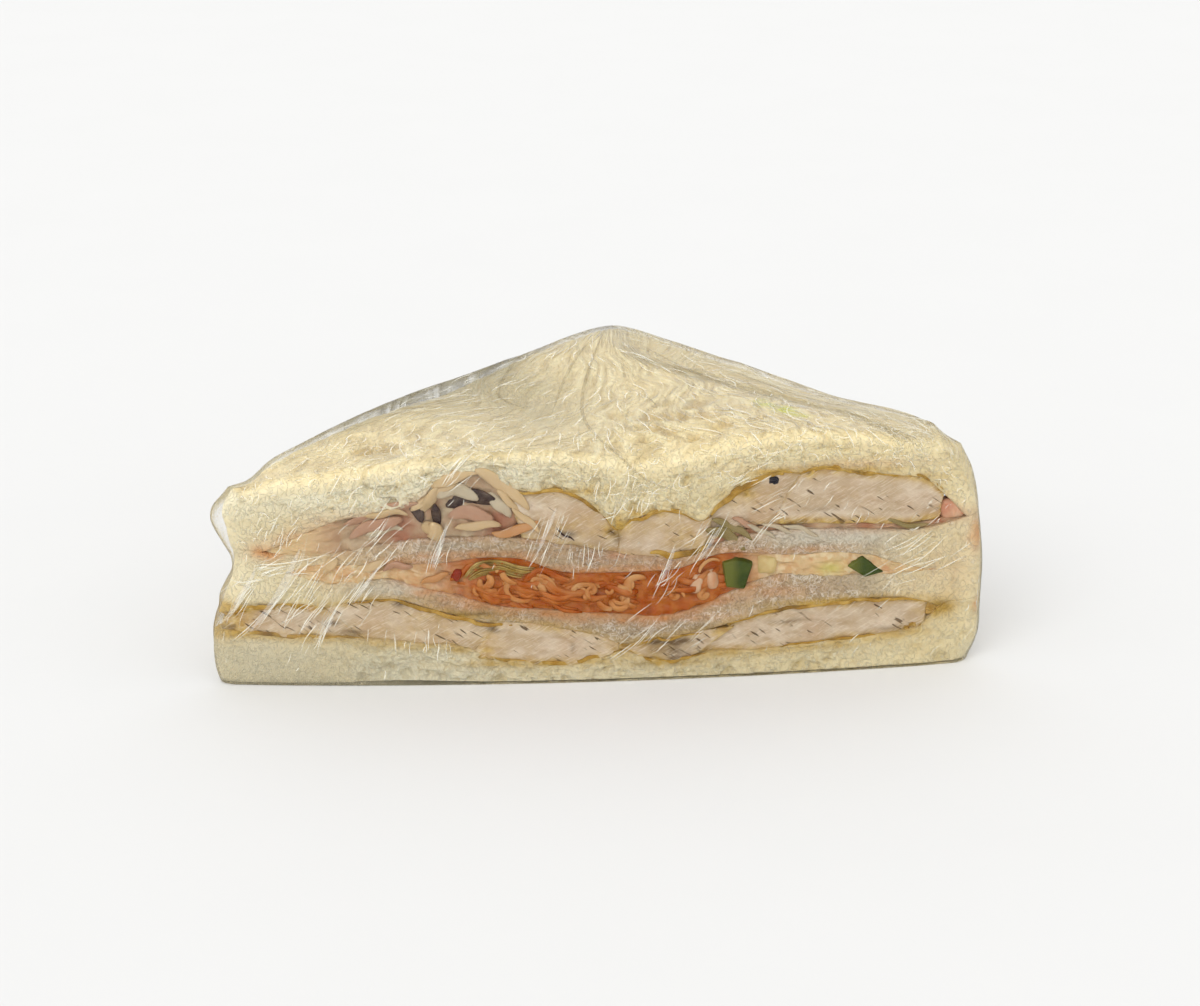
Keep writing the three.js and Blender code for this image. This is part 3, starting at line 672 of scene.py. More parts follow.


# ---------------------------------------------------------------- stains

# Colour that has soaked in near the cut, and in the brown ones also painted shade in notches,
# joints and under pieces: x, z, half width, half height and strength of each.
STAINS = {
    "gold": (
        (-70, 15.6, 8, 0.8, 0.9), (-71, 10.6, 6, 0.8, 0.9), (-72, 13, 4.5, 3, 1.8),
        (-58, 16.4, 5, 0.6, 0.5), (-27, 14.0, 8, 1.0, 1.0), (-41, 17.5, 7, 0.7, 0.6),
        (-12, 4.0, 13, 0.8, 0.95), (-22, 7.5, 3, 2.5, 0.7), (3, 6.4, 2, 1.6, 0.7),
        (13, 3.2, 7, 0.7, 0.8), (46, 14.4, 14, 0.9, 1.0), (65, 11.8, 3.2, 1.8, 1.2),
        (44, 5.2, 10, 0.7, 0.5), (60, 7.2, 4, 0.8, 0.6), (-8, 38.9, 8, 0.8, 0.9),
        (2.5, 31, 1.8, 2.4, 0.9), (9, 34.0, 5, 0.8, 0.9), (15.5, 28.4, 3.6, 2.4, 0.65),
        (25, 37.2, 5, 1.6, 0.6), (11, 6.0, 6, 1.8, 0.5), (32, 41.4, 6, 0.8, 0.9),
        (46, 41.0, 9, 0.8, 0.9), (60, 38.9, 6, 0.7, 0.5), (0, 31.5, 16, 2.6, 0.42),
        (28, 36, 5, 3.2, 0.28), (-34, 10.5, 16, 3.0, 0.25), (-52, 9.3, 8, 0.6, 0.4),
    ),
    "orange": (
        (-62.5, 27.2, 3.4, 1.8, 0.9), (-57, 30.0, 4, 1.5, 0.6), (-50, 23.5, 5, 3.0, 0.4),
        (72.2, 26.5, 1.8, 3.0, 0.9), (73.6, 11.6, 1.0, 1.4, 1.0), (31, 17.2, 9, 1.3, 0.5),
        (-19, 16.0, 12, 1.2, 0.6), (-24, 26.4, 14, 1.0, 0.6), (8, 12.6, 15, 1.0, 0.7),
        (8, 23.2, 10, 0.8, 0.6), (38, 25.4, 8, 0.8, 0.4), (45, 42.2, 16, 1.2, 0.25),
    ),
    "pink": (
        (-48, 32.5, 7, 2.2, 0.7), (-36, 30.5, 9, 2.0, 0.5), (29, 30.5, 6, 2.6, 0.5),
        (54, 29.3, 8, 1.0, 0.7), (67, 31.2, 4, 1.6, 0.8), (2, 25.8, 7, 1.2, 0.6),
        (66, 20, 8, 8, 0.25), (20, 15.5, 9, 1.5, 0.4),
    ),
    "brown": (
        (-63, 16.4, 4.5, 0.4, 0.8), (-51, 12.6, 1.6, 0.5, 0.8), (-47.4, 10.6, 2.4, 0.5, 0.8),
        (-38.3, 16.6, 1.2, 0.8, 1.0), (-20.6, 10.9, 1.8, 0.5, 0.7),
        (-6.4, 30.2, 2.2, 0.5, 0.8), (-5.6, 7.0, 0.5, 0.9, 0.8),
        (10.5, 7.3, 3, 0.5, 0.6), (14.5, 7.6, 3.4, 0.7, 0.9), (14.2, 3.9, 1.3, 0.5, 1.0),
        (2.9, 29.4, 0.9, 1.3, 0.9), (23.0, 31.0, 3, 1.4, 0.4), (65.4, 12.6, 2.2, 0.8, 0.6),
        (36.5, 10.6, 3.5, 0.4, 0.6), (13.5, 5.6, 4.5, 1.5, 0.6), (-60, 33, 11, 6, 0.14),
        (-1, 27.2, 9, 1.6, 0.2), (56.0, 8.0, 2.5, 0.5, 0.5),
        (41.5, 33.4, 3.0, 0.5, 0.4), (-24, 14.4, 5, 0.4, 0.7), (50, 14.8, 5, 0.4, 0.4),
    ),
    "white": (
        (38, 28.6, 8, 1.8, 1.1), (50, 27.2, 7, 1.6, 1.0), (-30, 27.6, 6, 1.6, 0.5),
        (-38, 19.8, 8, 1.8, 0.7), (-25, 18.8, 4, 1.6, 0.5), (-5, 16.8, 6, 1.2, 0.4),
        (-62, 5.0, 14, 5.0, 0.6), (-67, 24, 9, 13, 0.25), (-46, 30.0, 7, 1.6, 0.6),
    ),
}


def stain(kind, spots):
    """Sum of flat humps in x and z with ragged edges, which die out behind the cut."""
    x, y, z = (spots[..., k] for k in range(3))
    total = sum(strength * bell(x, cx, wide) * bell(z, cz, high)
                for cx, cz, wide, high, strength in STAINS[kind])
    ragged = 1 + 0.45 * rough_noise(spots, 2.0, len(kind))
    return np.clip(total * ragged * ease(10, 3, y - cut_line(x)), 0, 1)


def stains(spots):
    return {kind: stain(kind, spots) for kind in STAINS}


# ---------------------------------------------------------------- bread

# Each slice: how far behind the others its cut face lies, how pressed it is, and how dim its
# painted shade makes it.
SLICES = {
    "bread_1": {"recess": 0.0, "pressed": 0.0, "seed": 11, "dim": 0.7},
    "bread_2": {"recess": 0.3, "pressed": 1.0, "seed": 23, "dim": 0.5},
    "bread_3": {"recess": 0.2, "pressed": 1.0, "seed": 37, "dim": 0.4},
    "bread_4": {"recess": 0.0, "pressed": 0.0, "seed": 51, "dim": 0.0},
}


# Yellow-green spots on the top: x, y, half width and half depth.
LIME = ((32.5, -15.5, 1.6, 2.4), (36.0, -20.5, 1.9, 2.6), (38.5, -24.5, 1.2, 1.2))


# Dents in the top of the bread: x, y, half width, half depth and how deep.
PITS = (
    (4.6, -13.5, 1.5, 2.4, 1.0), (7.5, -21.5, 1.3, 1.8, 0.9), (11.5, -17.0, 2.6, 1.6, 1.2),
    (11.0, -22.5, 1.7, 1.4, 1.1), (15.5, -18.5, 2.2, 2.2, 1.3), (14.5, -25.0, 2.0, 1.8, 1.2),
    (9.5, -27.5, 1.8, 1.5, 1.0), (19.8, -13.5, 2.4, 2.0, 1.2), (21.5, -20.0, 2.6, 2.0, 1.2),
    (23.0, -26.5, 1.8, 2.0, 1.0), (27.5, -18.0, 1.8, 1.4, 0.8), (17.0, -29.5, 1.4, 1.2, 0.8),
    (30.0, -26.0, 1.5, 1.3, 0.7), (13.5, -10.5, 1.8, 1.2, 0.8), (25.0, -10.0, 1.5, 1.2, 0.6),
    (-41.5, -24.5, 4.4, 1.8, 1.4), (-30.0, -27.0, 2.0, 1.4, 0.5), (40.0, -30.0, 1.6, 1.2, 0.6),
)


def dents(x, y):
    """The dents' depth: a flat-floored hump, 1 to the edge, of each pit."""
    total = 0
    for cx, cy, wide, deep, depth in PITS:
        away = ((x - cx) / wide) ** 2 + ((y - cy) / deep) ** 2
        total = np.maximum(total, depth * ease(1.7, 0.25, away))
    return total


def slack(spots):
    """Slow unevenness of the film and of the bread that it is drawn onto, in millimetres."""
    return 0.14 * soft_noise(spots, (10, 10, 7), 71) + 0.07 * soft_noise(spots, (4, 4, 2.4), 72)


# The creases run out from a point behind the back corner, and an angle of 1 round it counts as
# this many millimetres.
FLOW_BEHIND, FLOW_ROUND = 6, 40


def flow(spots):
    """Marks that creases of the film follow: across them, a length times the warped angle round a
    point behind the back corner, and along them, the distance from that point. Along the right
    back side they turn to run across it."""
    x, y = spots[..., 0] - BACK_CORNER_X, BACK + FLOW_BEHIND - spots[..., 1]
    bend = 0.11 * soft_noise(spots, (15, 15, 15), 61) + 0.05 * soft_noise(spots, (6, 6, 6), 62)
    inside = inside_back(spots[..., 0], spots[..., 1], 1)
    turned = 1.3 * inside * ease(17, 11, inside) * ease(4, 16, spots[..., 0])
    return {"across": FLOW_ROUND * (np.arctan2(x, y) + bend) + turned, "along": np.hypot(x, y)}


FILM_GAP = 0.8  # from the whole top down to the top slice
SHOULDERS = {-1: (0.9, -32, 22, 7), 1: (0.8, 42, 18, 9)}  # hump of each side, and its width inwards


def top_of_bread(x, y):
    """The top slice: two humps, the dent between them, and shoulders that fall to the back."""
    fall = hump(x, 1.2, -26, 13) * bell(y, 4, 13)
    for side, (deep, middle, spread, width) in SHOULDERS.items():
        fall = fall + hump(x, deep, middle, spread) * ease(width, 0, inside_back(x, y, side))
    return top_height(x, y) - FILM_GAP - dent(x, y) - droop(x, y) - fall


def closed_in(face, sign):
    """A face of the two lower slices, closer to the other past the end of the chicken."""
    return lambda x, y: face(x, y) + sign * 0.9 * bell(x, 66.2, 2.2)


def bread_loft(name, step):
    """A slice between its layer's heights, closer to its neighbours at the two tips."""
    recess = SLICES[name]["recess"]
    reach = LENGTH / 2 - TIP_INSET - 0.3 * recess
    low, high = layer_low(name, -0.2), layer_high(name, -0.2)

    def soft(x):
        return 0.15 + 0.15 * ease(68, 56, np.abs(x))

    if name == "bread_2":
        low = closed_in(low, -1)
    edges, rows = (soft, soft), (26, 28, 26)
    if name == "bread_1":
        low = lambda x, y: 0.1 + 0.6 * bell(x, -38, 11) * ease(5, 0, y - cut_line(x))
        high = closed_in(high, 1)
        edges = (0.25, soft)
    if name == "bread_4":
        low = lambda x, y: layer_low("bread_4", -0.2)(x, y) - 1.6 * bell(x, 71.0, 1.8)
        high = top_of_bread
        edges = (soft, 3.2)
        rows = (26, 40, 140)
    body = Loft(-reach, reach, lambda x: food_front(x) + recess, lambda x: food_back(x) - recess,
                low, high, nose=3.0, lip=0, edges=edges, step=step, rows=rows)
    draw_in(body.points, FOOD_LEFT, FOOD_RIGHT)
    return body


def bread_slice(name, sizes):
    """A slice with soft lumps, crumb cells of two sizes and open pores in its faces."""
    look = SLICES[name]
    seed, pressed = look["seed"], look["pressed"]
    body = bread_loft(name, sizes.crumb_step / MM)
    spots = body.points
    x, y, z = (spots[..., k] for k in range(3))
    outer = 1 - pressed
    lumps = 0.25 * soft_noise(spots, (7, 7, 4), 3) + 0.2 * soft_noise(spots, 2.4, 4)
    large, which = foam(spots, 2.6, seed)
    small, other = foam(spots, 1.15, seed + 7)
    wide = 2.0 if outer else 1.0
    holes = pores(spots, 4.6, seed + 10, 0.5, (0.6, wide))
    on_top = body.facing((0, 0, 1))
    warp = [soft_noise(spots, 2.2, number) for number in (91, 92)]
    warped = spots + 1.1 * np.stack([*warp, 0 * x], axis=-1)
    pits = bell(x, 15, 19) * bell(y, -21, 14) * on_top
    sunk = dents(warped[..., 0], warped[..., 1]) * on_top * outer * (z > 36)
    torn = outer * (bell(z, 39, 5) * ease(-4, -22, x) * (1 - on_top)
                    + 1.2 * bell(x, -36, 12) * ease(8, 3, z) + 0.5 * ease(40, 20, np.abs(x + 15)))
    depth = 0.6 * large * which**2 + 0.4 * small * other + (0.7 + pits) * np.clip(holes, 0, 1)
    depth = depth * (1 + 0.5 * np.clip(torn, 0, 1) * (1 - on_top)) * (0.45 + 0.55 * outer)
    calm = 0.65 * ease(-44, -62, x) + 0.3 * ease(40, 60, x)
    depth = depth * (1 - calm) * mix(1.0, 0.2 + 0.6 * pits, on_top) + 1.3 * sunk
    seen = np.clip(1 - body.facing((0, 0, -1), 0.5) - pressed * on_top, 0, 1)
    crown = on_top * outer * (z > 30)
    shape = lumps * mix(0.7, 1, outer) * mix(1.0, 0.4, crown) + crown * slack(spots)
    body.push(seen * (shape - sizes.crumb_depth / MM * (depth - mix(0.25, 0.12, crown))))
    grey = pressed * ease(-58, -34, x) * ease(66, 44, x)
    marks = stains(spots)
    soak_in(marks, name, spots)
    if name == "bread_4":
        marks["lime"] = lime_marks(spots)
    # The dim mark is painted shade: set per slice, weaker towards the right tip, and stronger in
    # the middle of the pressed slices.
    dim = look["dim"] * mix(1.0, 0.6, ease(30, 60, x)) + 0.9 * pressed * bell(x, -18, 22) + 0 * z
    # The fluff mark: torn crumb, plus the lumps' high points as a painted highlight.
    return body.mesh(name + "_crumb", relief=np.clip(1 - depth, 0, 1), grey=grey, dim=dim,
                     fluff=np.clip(torn + 0.3 * lumps, 0, 1), crown=crown, calm=calm + 0 * z,
                     **flow(spots), **marks)


# Where a filling's sauce or spice has soaked into a slice: slice, stain, count of layers below
# the face that it touches, from and to along the cut, and strength.
CONTACTS = (
    ("bread_1", "gold", 1, -72, 64, 0.8), ("bread_2", "gold", 2, -66, 62, 0.8),
    ("bread_2", "orange", 3, -38, 34, 0.9), ("bread_3", "orange", 4, -44, 32, 0.8),
    ("bread_3", "pink", 5, -58, 66, 0.5), ("bread_4", "pink", 6, -60, -30, 0.45),
    ("bread_4", "gold", 6, -16, 66, 0.5),
)


def soak_in(marks, name, spots):
    """Strengthens the stains along the faces that touch a filling: a bell of the distance to it."""
    x, y, z = (spots[..., k] for k in range(3))
    patchy = 0.65 + 0.5 * rough_noise(spots, (3.5, 3.5, 1.4), 17)
    for piece, kind, count, start, end, strength in CONTACTS:
        if piece == name:
            where = ease(start - 4, start + 4, x) * ease(end + 4, end - 4, x)
            wide = 1.6 if kind == "orange" else 1.0
            line = bell(z, height_of(count, x, y), wide) * where * patchy * strength
            marks[kind] = np.clip(np.maximum(marks[kind], line), 0, 1)


def lime_marks(spots):
    """Spots of yellow-green on the top slice, right of its middle: humps with ragged edges."""
    x, y, z = (spots[..., k] for k in range(3))
    total = sum(bell(x, cx, wide) * bell(y, cy, deep) for cx, cy, wide, deep in LIME)
    return np.clip(1.2 * total * (1 + rough_noise(spots, 1.6, 6)), 0, 1) * (z > 40)


def tint_stains(paint, base):
    """Soaks the stain marks' colours into a base colour; the brown mark is partly painted shade."""
    for kind, colour, most in (("white", shade(220, 216, 200), 0.7),
                               ("pink", shade(200, 146, 112), 0.75),
                               ("orange", shade(208, 138, 72), 0.85),
                               ("gold", shade(198, 160, 66), 0.9),
                               ("brown", shade(98, 72, 36), 0.8)):
        strength = paint.maths("MULTIPLY", paint.mark(kind), most)
        base = paint.blend(strength, base, colour)
    return base


def paint_bread(colours):
    """Cream crumb: painted shade in its cells, painted highlights on its high places and lumps,
    paler where torn, curls of painted highlight and painted shade, and grey-brown with pale
    fibres and slits of painted shade where pressed. The film's creases show on its top in
    painted shade and highlight."""
    paint = Paint("crumb")
    broad = paint.span(paint.noise(24, 2.0), 0.35, 0.68)
    cream = paint.blend(broad, tuple(colours.crumb), tuple(colours.crumb_warm))
    relief_mark = paint.mark("relief")
    # The relief mark paints highlights on the crumb's high places and shade in its cells.
    cream = paint.blend(paint.span(relief_mark, 0.6, 1.0, 0.0, 0.2), cream, shade(244, 236, 206))
    cream = paint.blend(paint.span(relief_mark, 0.75, 0.1, 0.0, 0.6), cream, shade(208, 184, 124))
    # Paler where the crumb is torn, and a painted highlight on its lumps.
    cream = paint.blend(paint.span(paint.mark("fluff"), 0.2, 1.0, 0.0, 0.5), cream,
                        shade(238, 238, 222))
    # Painted shade in the hollows of a noise and along dark curls, and painted highlight along pale
    # curls; the shade is weaker on the top and at the calm ends.
    hollows = paint.span(paint.noise(1.7, 3.0, 0.6, curl=1.2), 0.36, 0.47, 0.5, 0.0)
    pale_curls = paint.lines(1.9, 0.03, detail=2.0, curl=1.6)
    dark_curls = paint.lines(2.3, 0.028, detail=2.0, curl=2.2)
    crown = paint.mark("crown")
    side = paint.maths("MULTIPLY", paint.span(crown, 0.0, 0.8, 1.0, 0.15),
                       paint.maths("SUBTRACT", 1.0, paint.mark("calm")))
    cream = paint.glaze(cream, (204, 180, 124), hollows, side)
    cream = paint.glaze(cream, (250, 246, 226), pale_curls, 0.6)
    shaded = paint.maths("MULTIPLY", dark_curls, side)
    cream = paint.glaze(cream, (196, 170, 116), shaded, 0.35)
    # The film's creases on the top: painted shade in their low parts and painted highlight on their
    # high parts.
    creases = paint.streaks(1.15, 9.0)
    low = paint.maths("MULTIPLY", paint.span(creases, 0.52, 0.34, 0.0, 0.42), crown)
    cream = paint.glaze(cream, (226, 202, 142), crown, 0.42)
    cream = paint.blend(low, cream, shade(188, 164, 110))
    high = paint.maths("MULTIPLY", paint.span(creases, 0.5, 0.66, 0.0, 0.55), crown)
    cream = paint.blend(high, cream, shade(246, 236, 198))
    cream = paint.glaze(cream, (212, 214, 62), paint.mark("lime"), 0.85)
    patch = paint.span(paint.noise(8, 2.0), 0.42, 0.6)
    damp = paint.blend(patch, tuple(colours.pressed), shade(206, 184, 152))
    damp = paint.blend(paint.span(paint.noise(1.2, 3.0, 0.6, curl=1.0), 0.5, 0.62, 0.0, 0.45), damp,
                       shade(158, 134, 108))
    fibres = paint.lines(1.5, 0.055, detail=2.0, curl=1.2)
    where = paint.span(paint.noise(6, 2.0), 0.42, 0.58, 0.25, 1.0)
    damp = paint.glaze(damp, (244, 238, 226), fibres, where)
    # Slits of painted shade in the pressed crumb.
    slits = paint.lines(2.4, 0.018, detail=2.0, curl=2.0)
    elsewhere = paint.span(paint.noise(5, 2.0), 0.5, 0.6, 0.0, 0.75)
    damp = paint.glaze(damp, (122, 98, 78), slits, elsewhere)
    base = paint.blend(paint.mark("grey"), cream, damp)
    # Painted shade by the dim mark.
    base = paint.glaze(base, (156, 142, 112), paint.mark("dim"), 0.22)
    base = tint_stains(paint, base)
    relief = paint.bump(pale_curls, 0.25, 0.7)
    rough = paint.maths("SUBTRACT", 1.0, paint.maths("MULTIPLY", paint.mark("calm"), 1.2))
    rough = paint.maths("MULTIPLY", paint.noise(0.8, 5.0, 0.7), rough)
    relief = paint.bump(rough, 0.3, 0.8, relief)
    relief = paint.bump(paint.maths("MULTIPLY", creases, crown), 0.65, 1.0, relief)
    fine = paint.noise(1.1, 4.0, 0.65)
    return paint.surface(base, paint.span(fine, 0.3, 0.7, 0.7, 0.95), relief,
                         Subsurface_Weight=0.08, Subsurface_Radius=(0.002, 0.0015, 0.001),
                         Subsurface_Scale=1.0)


# ---------------------------------------------------------------- chicken

# Each slice along the cut: from, to, how far its two ends lean (its top to the right), how
# proud it stands, and how far its ends are rounded.
CHICKEN = {
    "chicken_bottom_1": (-72.6, -48.8, 0.0, -4.0, 0.5, 0.8),
    "chicken_bottom_2": (-51.0, -21.2, -4.0, 3.0, 0.2, 0.8),
    "chicken_bottom_3": (-23.6, 4.4, 2.8, 0.0, 0.6, 1.4),
    "chicken_bottom_4": (2.0, 22.4, 0.0, 3.6, 0.4, 0.9),
    "chicken_bottom_5": (20.2, 64.2, 3.6, 0.0, 0.2, 1.4),
    "chicken_top_1": (-17.4, 4.4, -1.6, 0.0, 0.3, 0.8),
    "chicken_top_2": (1.8, 20.6, 0.0, 0.8, 0.4, 0.8),
    "chicken_top_3": (18.4, 37.4, 0.6, 3.0, 0.2, 0.6),
    "chicken_top_4": (33.6, 66.6, 3.0, 0.0, 0.5, 1.4),
}


# Golden to brown edges at the cut: layer, whether along its top, from and to, width and inset.
SPICE = (
    ("chicken_bottom", 1, -71.6, -53.0, 1.0, 0.3), ("chicken_bottom", 0, -72.4, -44.0, 0.9, 0.4),
    ("chicken_bottom", 1, -62.0, -56.0, 0.4, 0.7), ("chicken_bottom", 1, -47.0, -32.0, 0.5, 0.2),
    ("chicken_bottom", 1, -38.0, -17.0, 0.9, 0.5), ("chicken_bottom", 0, -22.6, 4.0, 0.9, 0.4),
    ("chicken_bottom", 1, 4.4, 19.0, 0.5, 0.5), ("chicken_bottom", 0, 5.0, 21.5, 0.8, 0.4),
    ("chicken_bottom", 1, 24.0, 63.0, 0.8, 0.3), ("chicken_bottom", 0, 34.0, 62.0, 0.6, 0.3),
    ("chicken_top", 1, -16.0, 3.0, 0.8, 0.2), ("chicken_top", 1, 3.4, 20.0, 0.9, 0.3),
    ("chicken_top", 0, 9.0, 20.0, 1.4, 0.8), ("chicken_top", 1, 20.4, 34.0, 1.5, 0.5),
    ("chicken_top", 1, 32.0, 65.0, 0.7, 0.1), ("chicken_top", 1, 39.0, 51.0, 0.5, 0.6),
)


def spice_edges():
    """Strips of spice on the cut, each along the top or bottom of a layer and waved by noise."""
    paths = []
    for layer, upper, start, end, _, inset in SPICE:
        x = np.linspace(start, end, 41)
        y = food_front(x) + 0.1
        z = layer_high(layer, inset)(x, y) if upper else layer_low(layer, inset)(x, y)
        path = np.stack([x, y, z], axis=-1)
        paths.append(path + np.array([0, 0.1, 0.4])
                     * rough_noise(path, (2.6, 2.6, 2.6), 5)[:, None])
    return ribbons("spice_edges", np.stack(paths), np.array([row[4] for row in SPICE]), 0.4,
                   (0, 1.0, 0), sides=10, power=0.4)


# Crumbs of spice at the right end of the lower chicken: x, z and size.
SPICE_CRUMBS = (
    (64.6, 12.6, 2.6), (66.2, 12.6, 1.8), (63.8, 11.2, 1.6), (60.4, 8.4, 1.2), (59.2, 7.8, 0.9),
    (67.8, 12.6, 1.0),
)


def rounded(x, end, by):
    """How far a quarter round, 3 mm long and by high, has closed at x, on the way to an end."""
    t = np.clip((x - end + 3) / 3, 0, 0.99)
    return by * (1 - np.sqrt(1 - t**2))


def chicken_slice(name, seed):
    """A slice of chicken that runs back from the cut, with fibres and slits in its cut face."""
    start, end, lean_start, lean_end, proud, round_by = CHICKEN[name]
    layer = name[:-2]
    low, high = layer_low(layer, -0.15), layer_high(layer, -0.15)
    if name in ("chicken_top_3", "chicken_top_4"):
        low = lambda x, y: layer_low(layer)(x, y) + RELISH * ease(18, 24, x)

    below, above = low, high
    if end > 62:
        low = lambda x, y: below(x, y) + rounded(x, end, 0.46 * (above(x, y) - below(x, y)))
        high = lambda x, y: above(x, y) - rounded(x, end, 0.46 * (above(x, y) - below(x, y)))

    def front(x):
        return food_front(x) + 0.7 - proud + 0.25 * np.sin(x * 0.9 + seed)

    body = Loft(start, end, front, lambda x: food_back(x) - 1.4, low, high, nose=round_by,
                lip=round_by, edges=(0.4, 0.4), step=0.4, rows=(26, 20, 26))
    spots = body.points
    x, y, z = spots[..., 0].copy(), spots[..., 1], spots[..., 2]
    middle, half = (high(x, y) + low(x, y)) / 2, (high(x, y) - low(x, y)) / 2
    reach = min(9.0, (end - start) / 2)
    lean = lean_start * ease(start + reach, start, x) + lean_end * ease(end - reach, end, x)
    tips = ease(start + 5, start, x) + ease(end - 5, end, x)
    spots[..., 0] += (lean * (z - middle) / half
                      + 0.8 * tips * soft_noise(spots, (30, 7, 3.2), seed + 8))
    draw_in(spots, FOOD_LEFT, FOOD_RIGHT)
    grain = spots @ np.array([[1, 0, 0.6], [0, 1, 0], [-0.6, 0, 1]])
    fibres = (0.12 * soft_noise(grain, (6.0, 6.0, 0.8), seed)
              + 0.09 * soft_noise(grain, (3, 5, 0.45), seed))
    swell = 0.4 * soft_noise(spots, (5, 8, 2.6), seed + 3)
    cut = body.facing((0, -1, 0), 0.7)
    marks = stains(spots)
    patchy = ease(-0.35, 0.3, soft_noise(spots, (6, 9, 30), seed + 9))
    inward = half - np.abs(z - middle) + 0.5 * soft_noise(spots, (2.5, 6, 2), seed + 10)
    from_end = np.minimum(x - start, end - x) + 0.8 * soft_noise(spots, (4, 6, 2), seed + 11)
    rind = np.maximum(ease(2.2, 0.3, inward), 0.8 * ease(2.2, 0.2, from_end))
    rind = rind * mix(0.45, 1.0, patchy)
    outside = np.maximum(0.9 * (1 - ease(0.15, 0.8, cut)), rind) * (body.facing((0, 1, 0)) < 0.5)
    marks["gold"] = np.maximum(marks["gold"], outside)
    body.push(cut * fibres + swell * (1 - 0.4 * cut))
    return body.mesh(name + "_meat", **marks)


def paint_chicken(colours):
    """Pale smooth meat with faint fibres, leaning strands and short slits of painted shade, golden
    to brown where the spice soaked in, and brown spots and painted shade by the brown mark."""
    paint = Paint("chicken_meat")
    soft = paint.noise(4, 2.5, stretch=(1.5, 1.0, 0.7))
    pale = paint.blend(paint.span(soft, 0.38, 0.62), tuple(colours.chicken), shade(228, 212, 190))
    streaky = paint.noise(2.8, 2.0, stretch=(1.6, 1.0, 0.6))
    pale = paint.blend(paint.span(streaky, 0.5, 0.3, 0.0, 0.5), pale, shade(178, 150, 114))
    pale = paint.blend(paint.span(paint.noise(9, 2.0), 0.5, 0.72, 0.0, 0.6), pale,
                       shade(202, 172, 140))
    fibre = paint.noise(0.8, 3.0, 0.6, stretch=(1.0, 1.0, 0.22), turn=(0, 0.5, 0))
    pale = paint.blend(paint.span(fibre, 0.35, 0.7, 0.0, 0.28), pale, shade(172, 144, 104))
    gold = paint.mark("gold")
    patchy = paint.span(paint.noise(1.8, 3.0), 0.3, 0.65, 0.6, 1.0)
    spice = paint.blend(paint.span(paint.noise(1.4, 3.0), 0.38, 0.64), tuple(colours.turmeric),
                        shade(212, 180, 96))
    base = paint.glaze(pale, (200, 146, 112), paint.mark("pink"), 0.5)
    base = paint.glaze(base, (208, 144, 80), paint.mark("orange"), 0.6)
    base = paint.blend(paint.maths("MULTIPLY", gold, patchy), base, spice)
    rim = paint.maths("MULTIPLY", paint.span(gold, 0.7, 1.0, 0.0, 0.75),
                      paint.span(paint.noise(3.2, 3.0), 0.5, 0.6))
    base = paint.blend(rim, base, shade(112, 82, 32))
    # The brown mark: brown spots and lines, and painted shade in notches, joints and under pieces.
    base = paint.glaze(base, (84, 60, 30), paint.mark("brown"), 0.85)
    strands = paint.noise(1.2, 2.0, stretch=(2.2, 1.0, 0.22), turn=(0, -0.5, 0))
    base = paint.blend(paint.span(strands, 0.54, 0.68, 0.0, 0.45), base, shade(238, 226, 206))
    # Short slits of painted shade.
    slits = paint.noise(2.0, 0.5, stretch=(1.7, 1.0, 0.24), turn=(0, 0.6, 0), curl=0.3)
    slits = paint.maths("MULTIPLY", paint.span(slits, 0.68, 0.72),
                        paint.span(paint.noise(5.0, 2.0), 0.45, 0.55))
    base = paint.glaze(base, (92, 68, 42), slits, 0.85)
    relief = paint.bump(fibre, 0.15, 0.6)
    relief = paint.bump(paint.maths("SUBTRACT", 1.0, slits), 0.3, 0.8, relief)
    return paint.surface(base, paint.span(fibre, 0.3, 0.7, 0.35, 0.5), relief,
                         Subsurface_Weight=0.12, Subsurface_Radius=(0.003, 0.002, 0.0012),
                         Subsurface_Scale=1.0)


# ---------------------------------------------------------------- sauces and heaps


def sauce_body(name, start, end, low, high, inset, seed, lump=0.45, marks=None, flush=None):
    """A wet mass between two heights, its faces raised into lumps by noise. Where flush is 1
    its front comes out level with the bread's."""
    flush = flush or (lambda x: 0 * x)
    body = Loft(start, end, lambda x: food_front(x) + inset * (1 - 0.8 * flush(x)),
                lambda x: food_back(x) - inset - 0.6, low, high, nose=1.6, lip=1.0,
                edges=(0.3, 0.3), step=0.5, rows=(20, 20, 20))
    draw_in(body.points, FOOD_LEFT, FOOD_RIGHT)
    spots = body.points
    side = body.facing((0, -1, 0)) + body.facing((0, 1, 0))
    ridges = 1 - 2 * np.abs(rough_noise(spots, (3.0, 3.0, 1.5), seed))
    body.push(side * (lump * ridges + 0.5 * lump * rough_noise(spots, 1.4, seed + 4)))
    marks = {key: rule(spots) for key, rule in (marks or {}).items()}
    return body.mesh(name, **marks)


def strand_paths(rng, count, x_range, low, high, lengths, lean, depth, steps=9, line=food_front):
    """Wavy paths on a face of the fillings: a straight run with a slow sine across it."""
    t = np.linspace(-0.5, 0.5, steps)[None, :]
    x0 = rng.uniform(*x_range, (count, 1))
    reach = rng.uniform(*lengths, (count, 1))
    angle = rng.uniform(*lean, (count, 1))
    wave = rng.uniform(0.3, 1.1, (count, 1)) * np.sin(t * rng.uniform(3, 8, (count, 1)) + x0)
    x = x0 + reach * t * np.cos(angle) - wave * np.sin(angle)
    y = line(x) + rng.uniform(*depth, (count, 1)) + 0.4 * np.sin(5 * t + x0)
    share = rng.uniform(0.12, 0.88, (count, 1))
    floor, roof = low(x, y), high(x, y)
    rise = reach * t * np.sin(angle) + wave * np.cos(angle)
    z = np.clip(mix(floor, roof, share) + rise, floor + 0.35, np.maximum(roof - 0.35, floor + 0.4))
    return np.stack([x, y, z], axis=-1)


